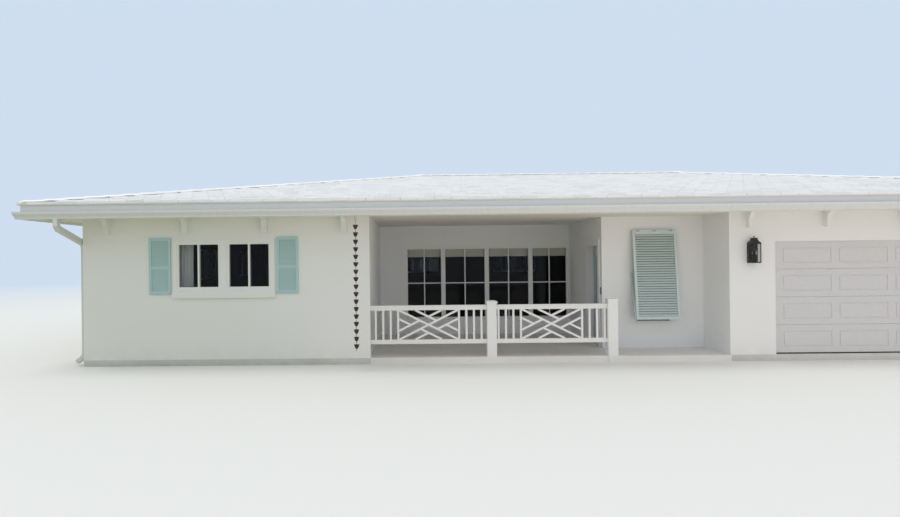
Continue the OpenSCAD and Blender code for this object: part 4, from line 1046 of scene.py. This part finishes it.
low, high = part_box("front_door_glass")
leaf_low, leaf_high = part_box("front_door")
moulding_w = 0.018
moulding_t = 0.005
rebate = 0.012
moulding = bmesh.new()
for face, side in ((leaf_low[0], -1), (leaf_high[0], 1)):
    near, away = sorted((face - side * rebate, face + side * moulding_t))
    for start, end in (((low[1], low[2]), (high[1], low[2] + moulding_w)),
                       ((low[1], high[2] - moulding_w), (high[1], high[2])),
                       ((low[1], low[2] + moulding_w), (low[1] + moulding_w, high[2] - moulding_w)),
                       ((high[1] - moulding_w, low[2] + moulding_w), (high[1], high[2] - moulding_w))):
        bar(moulding, (near, *start), (away, *end), 0.003)
new_piece("door_glass_moulding", moulding, door_coat, body="door")

low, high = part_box("door_handle")
rose_r, rose_t = 0.028, 0.010
cylinder_r, cylinder_t = 0.011, 0.006
turn_half_w, turn_half_h = 0.004, 0.014
bolt_y = low[1] + 0.026
bolt_z = (low[2] + high[2]) / 2 + 0.15
bolt = bmesh.new()
for face, side in ((leaf_low[0], -1), (leaf_high[0], 1)):
    rose = stud(rose_r, rose_r - 0.002, rose_t, 40, 0.002)
    bmesh.ops.create_cone(rose, cap_ends=True, segments=32, radius1=cylinder_r, radius2=cylinder_r - 0.001,
                          depth=cylinder_t, matrix=Matrix.Translation((0, 0, (rose_t + cylinder_t) / 2)))
    add_part(bolt, rose, Matrix.Translation((face + side * rose_t / 2, bolt_y, bolt_z))
             @ Matrix.Rotation(side * math.pi / 2, 4, "Y"))
bar(bolt, (leaf_high[0] + 0.015, bolt_y - turn_half_w, bolt_z - turn_half_h),
    (leaf_high[0] + 0.027, bolt_y + turn_half_w, bolt_z + turn_half_h), 0.002)
new_piece("door_bolt", bolt, nickel, body="door")


# Doorbell
# A bronze plate with a round push, on the wall beside the door casing.
bell_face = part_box("entry_wall")[0][0]
bell_y, bell_z = -5.484, 1.295
bell_w, bell_h, bell_t = 0.044, 0.150, 0.011
push_drop = 0.02
bell = bmesh.new()
bar(bell, (bell_face - bell_t, bell_y - bell_w / 2, bell_z - bell_h / 2),
    (bell_face, bell_y + bell_w / 2, bell_z + bell_h / 2), 0.004)
add_part(bell, stud(0.012, 0.010, 0.006, 28), Matrix.Translation((bell_face - 0.013, bell_y, bell_z - push_drop))
         @ Matrix.Rotation(-math.pi / 2, 4, "Y"))
new_piece("doorbell", bell, bronze)


# Garage door
# Pressed steel sections with long raised panels, in white enamel over a fine embossed wood grain, on a black seal.
pressed, place = new_material("embossed_white_enamel")
grain = place.noise(42.0, 5.0, 0.65, (0.07, 1.0, 1.0))
cloud = place.noise(1.3, 4.0, 0.6)
splash = (1.0 - place.axis("Z").band(0.15, 0.55)) * place.noise(6.0, 4.0, 0.6).band(0.4, 0.75)
# The enamel is painted greyer than the white walls, as painted shade of the door's recess; the marks near its foot
# are splashed dirt.
finish(pressed, {
    "Base Color": (splash * 0.35 + cloud * 0.15).blend((0.69, 0.675, 0.685), (0.61, 0.60, 0.59)),
    "Roughness": 0.42 + grain * 0.15,
    "Normal": grain.bump(0.35, 0.0015),
})
dress(pressed, "garage_door")

rubber, place = new_material("black_seal_rubber")
scuff = place.noise(40.0, 4.0, 0.65)
finish(rubber, {
    "Base Color": scuff.band(0.5, 0.8).blend((0.030, 0.030, 0.030), (0.10, 0.095, 0.09)),
    "Roughness": 0.75,
    "Normal": scuff.bump(0.3, 0.001),
})
dress(rubber, "garage_door_seal")


# Wall lantern
# Black-bronze powder coat over brass: a wall plate, a glazed cage under a stepped crown, and a turned finial.
# Two bulbs stand on candle sleeves in front of a dark back panel.
powder, place = new_material("black_bronze_powder_coat")
fine = place.noise(260.0, 3.0, 0.6)
worn = place.noise(18.0, 4.0, 0.6).band(0.55, 0.8)
finish(powder, {
    "Base Color": (worn * 0.5).blend((0.018, 0.016, 0.015), (0.060, 0.045, 0.035)),
    "Roughness": 0.40 + fine * 0.2,
    "Normal": fine.bump(0.3, 0.0006),
})

clear, place = new_material("lantern_pane")
seed = place.noise(30.0, 2.0, 0.5)
finish(clear, {
    "Base Color": seed.blend((0.05, 0.05, 0.05), (0.10, 0.10, 0.10)),
    "Roughness": 0.04 + seed * 0.05,
    "IOR": 1.5,
    "Alpha": 0.10,
    "Normal": seed.bump(0.2, 0.001),
})
dress(clear, "lantern_glass")

bulb_glass, place = new_material("frosted_bulb")
frost = place.noise(200.0, 2.0, 0.5)
finish(bulb_glass, {
    "Base Color": frost.blend((0.52, 0.50, 0.46), (0.44, 0.42, 0.38)),
    "Roughness": 0.30 + frost * 0.1,
    "Normal": frost.bump(0.2, 0.0003),
})

low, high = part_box("wall_lantern")
wall_plate_t = 0.014
wall_plate_w = 0.110
front, back = low[1], high[1] - wall_plate_t
lantern_x, lantern_y = (low[0] + high[0]) / 2, (front + back) / 2
cage_half_w, cage_half_d = (high[0] - low[0]) / 2, (back - front) / 2
cage_top = low[2] + 0.375
rim_h = 0.022
post_w = 0.014
post_in = 0.004
crown_steps = ((1.0, 0.006), (0.86, 0.014), (0.72, 0.026), (0.60, 0.044), (0.52, 0.064), (0.48, 0.082),
               (0.52, 0.086), (0.52, 0.095))
bulb_out = 0.0375
sleeve_foot = low[2] + 0.020
bulb_foot = low[2] + 0.155
panel_half_w = 0.080

cage = bmesh.new()
bar(cage, (lantern_x - wall_plate_w / 2, back, low[2]), (lantern_x + wall_plate_w / 2, high[1], cage_top), 0.003)
for z in (low[2], cage_top - rim_h):
    bar(cage, (low[0], front, z), (high[0], back + 0.0005, z + rim_h), 0.002)
for x in (low[0], high[0] - post_w):
    for y in (front, back - post_w):
        bar(cage, (x, y, low[2] + post_in), (x + post_w, y + post_w, cage_top - post_in), 0.002)
crown = bmesh.new()
bmesh.ops.create_grid(crown, x_segments=1, y_segments=1, size=1.0,
                      matrix=Matrix.Translation((lantern_x, lantern_y, cage_top - 0.001))
                      @ Matrix.Diagonal((cage_half_w, cage_half_d, 1.0, 1.0)))
face = crown.faces[:][0]
for share, rise in crown_steps:
    grown = bmesh.ops.extrude_face_region(crown, geom=[face])["geom"]
    face = [g for g in grown if isinstance(g, bmesh.types.BMFace)][0]
    for v in face.verts:
        v.co = (lantern_x + math.copysign(cage_half_w * share, v.co.x - lantern_x),
                lantern_y + math.copysign(cage_half_d * share, v.co.y - lantern_y), cage_top + rise)
bmesh.ops.recalc_face_normals(crown, faces=crown.faces[:])
add_part(cage, crown)
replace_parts(new_piece("lantern_cage", cage, powder), "wall_lantern")

bulbs, finial = bmesh.new(), bmesh.new()
for x in (lantern_x - bulb_out, lantern_x + bulb_out):
    turned(bulbs, [(0, 0), (0.008, 0), (0.009, 0.010), (0.014, 0.024), (0.0155, 0.036), (0.013, 0.050),
                   (0.008, 0.064), (0.003, 0.078), (0, 0.081)], (x, lantern_y, bulb_foot))
    turned(finial, [(0, 0), (0.016, 0), (0.016, 0.004), (0.0095, 0.008), (0.0095, 0.130), (0.013, 0.133),
                    (0.013, 0.137), (0, 0.137)], (x, lantern_y, sleeve_foot))
new_piece("lantern_bulbs", bulbs, bulb_glass, smooth=True)
bar(finial, (lantern_x - panel_half_w, high[1] - 0.072, low[2] + 0.018),
    (lantern_x + panel_half_w, high[1] - 0.069, high[2] - 0.110), 0.001)
turned(finial, [(0, -0.004), (0.017, -0.004), (0.017, 0.002), (0.008, 0.006), (0.006, 0.012), (0.011, 0.018),
                (0.012, 0.025), (0.008, 0.032), (0.003, 0.037), (0, 0.038)], (lantern_x, lantern_y, high[2]))
new_piece("lantern_finial", finial, powder, smooth=True)
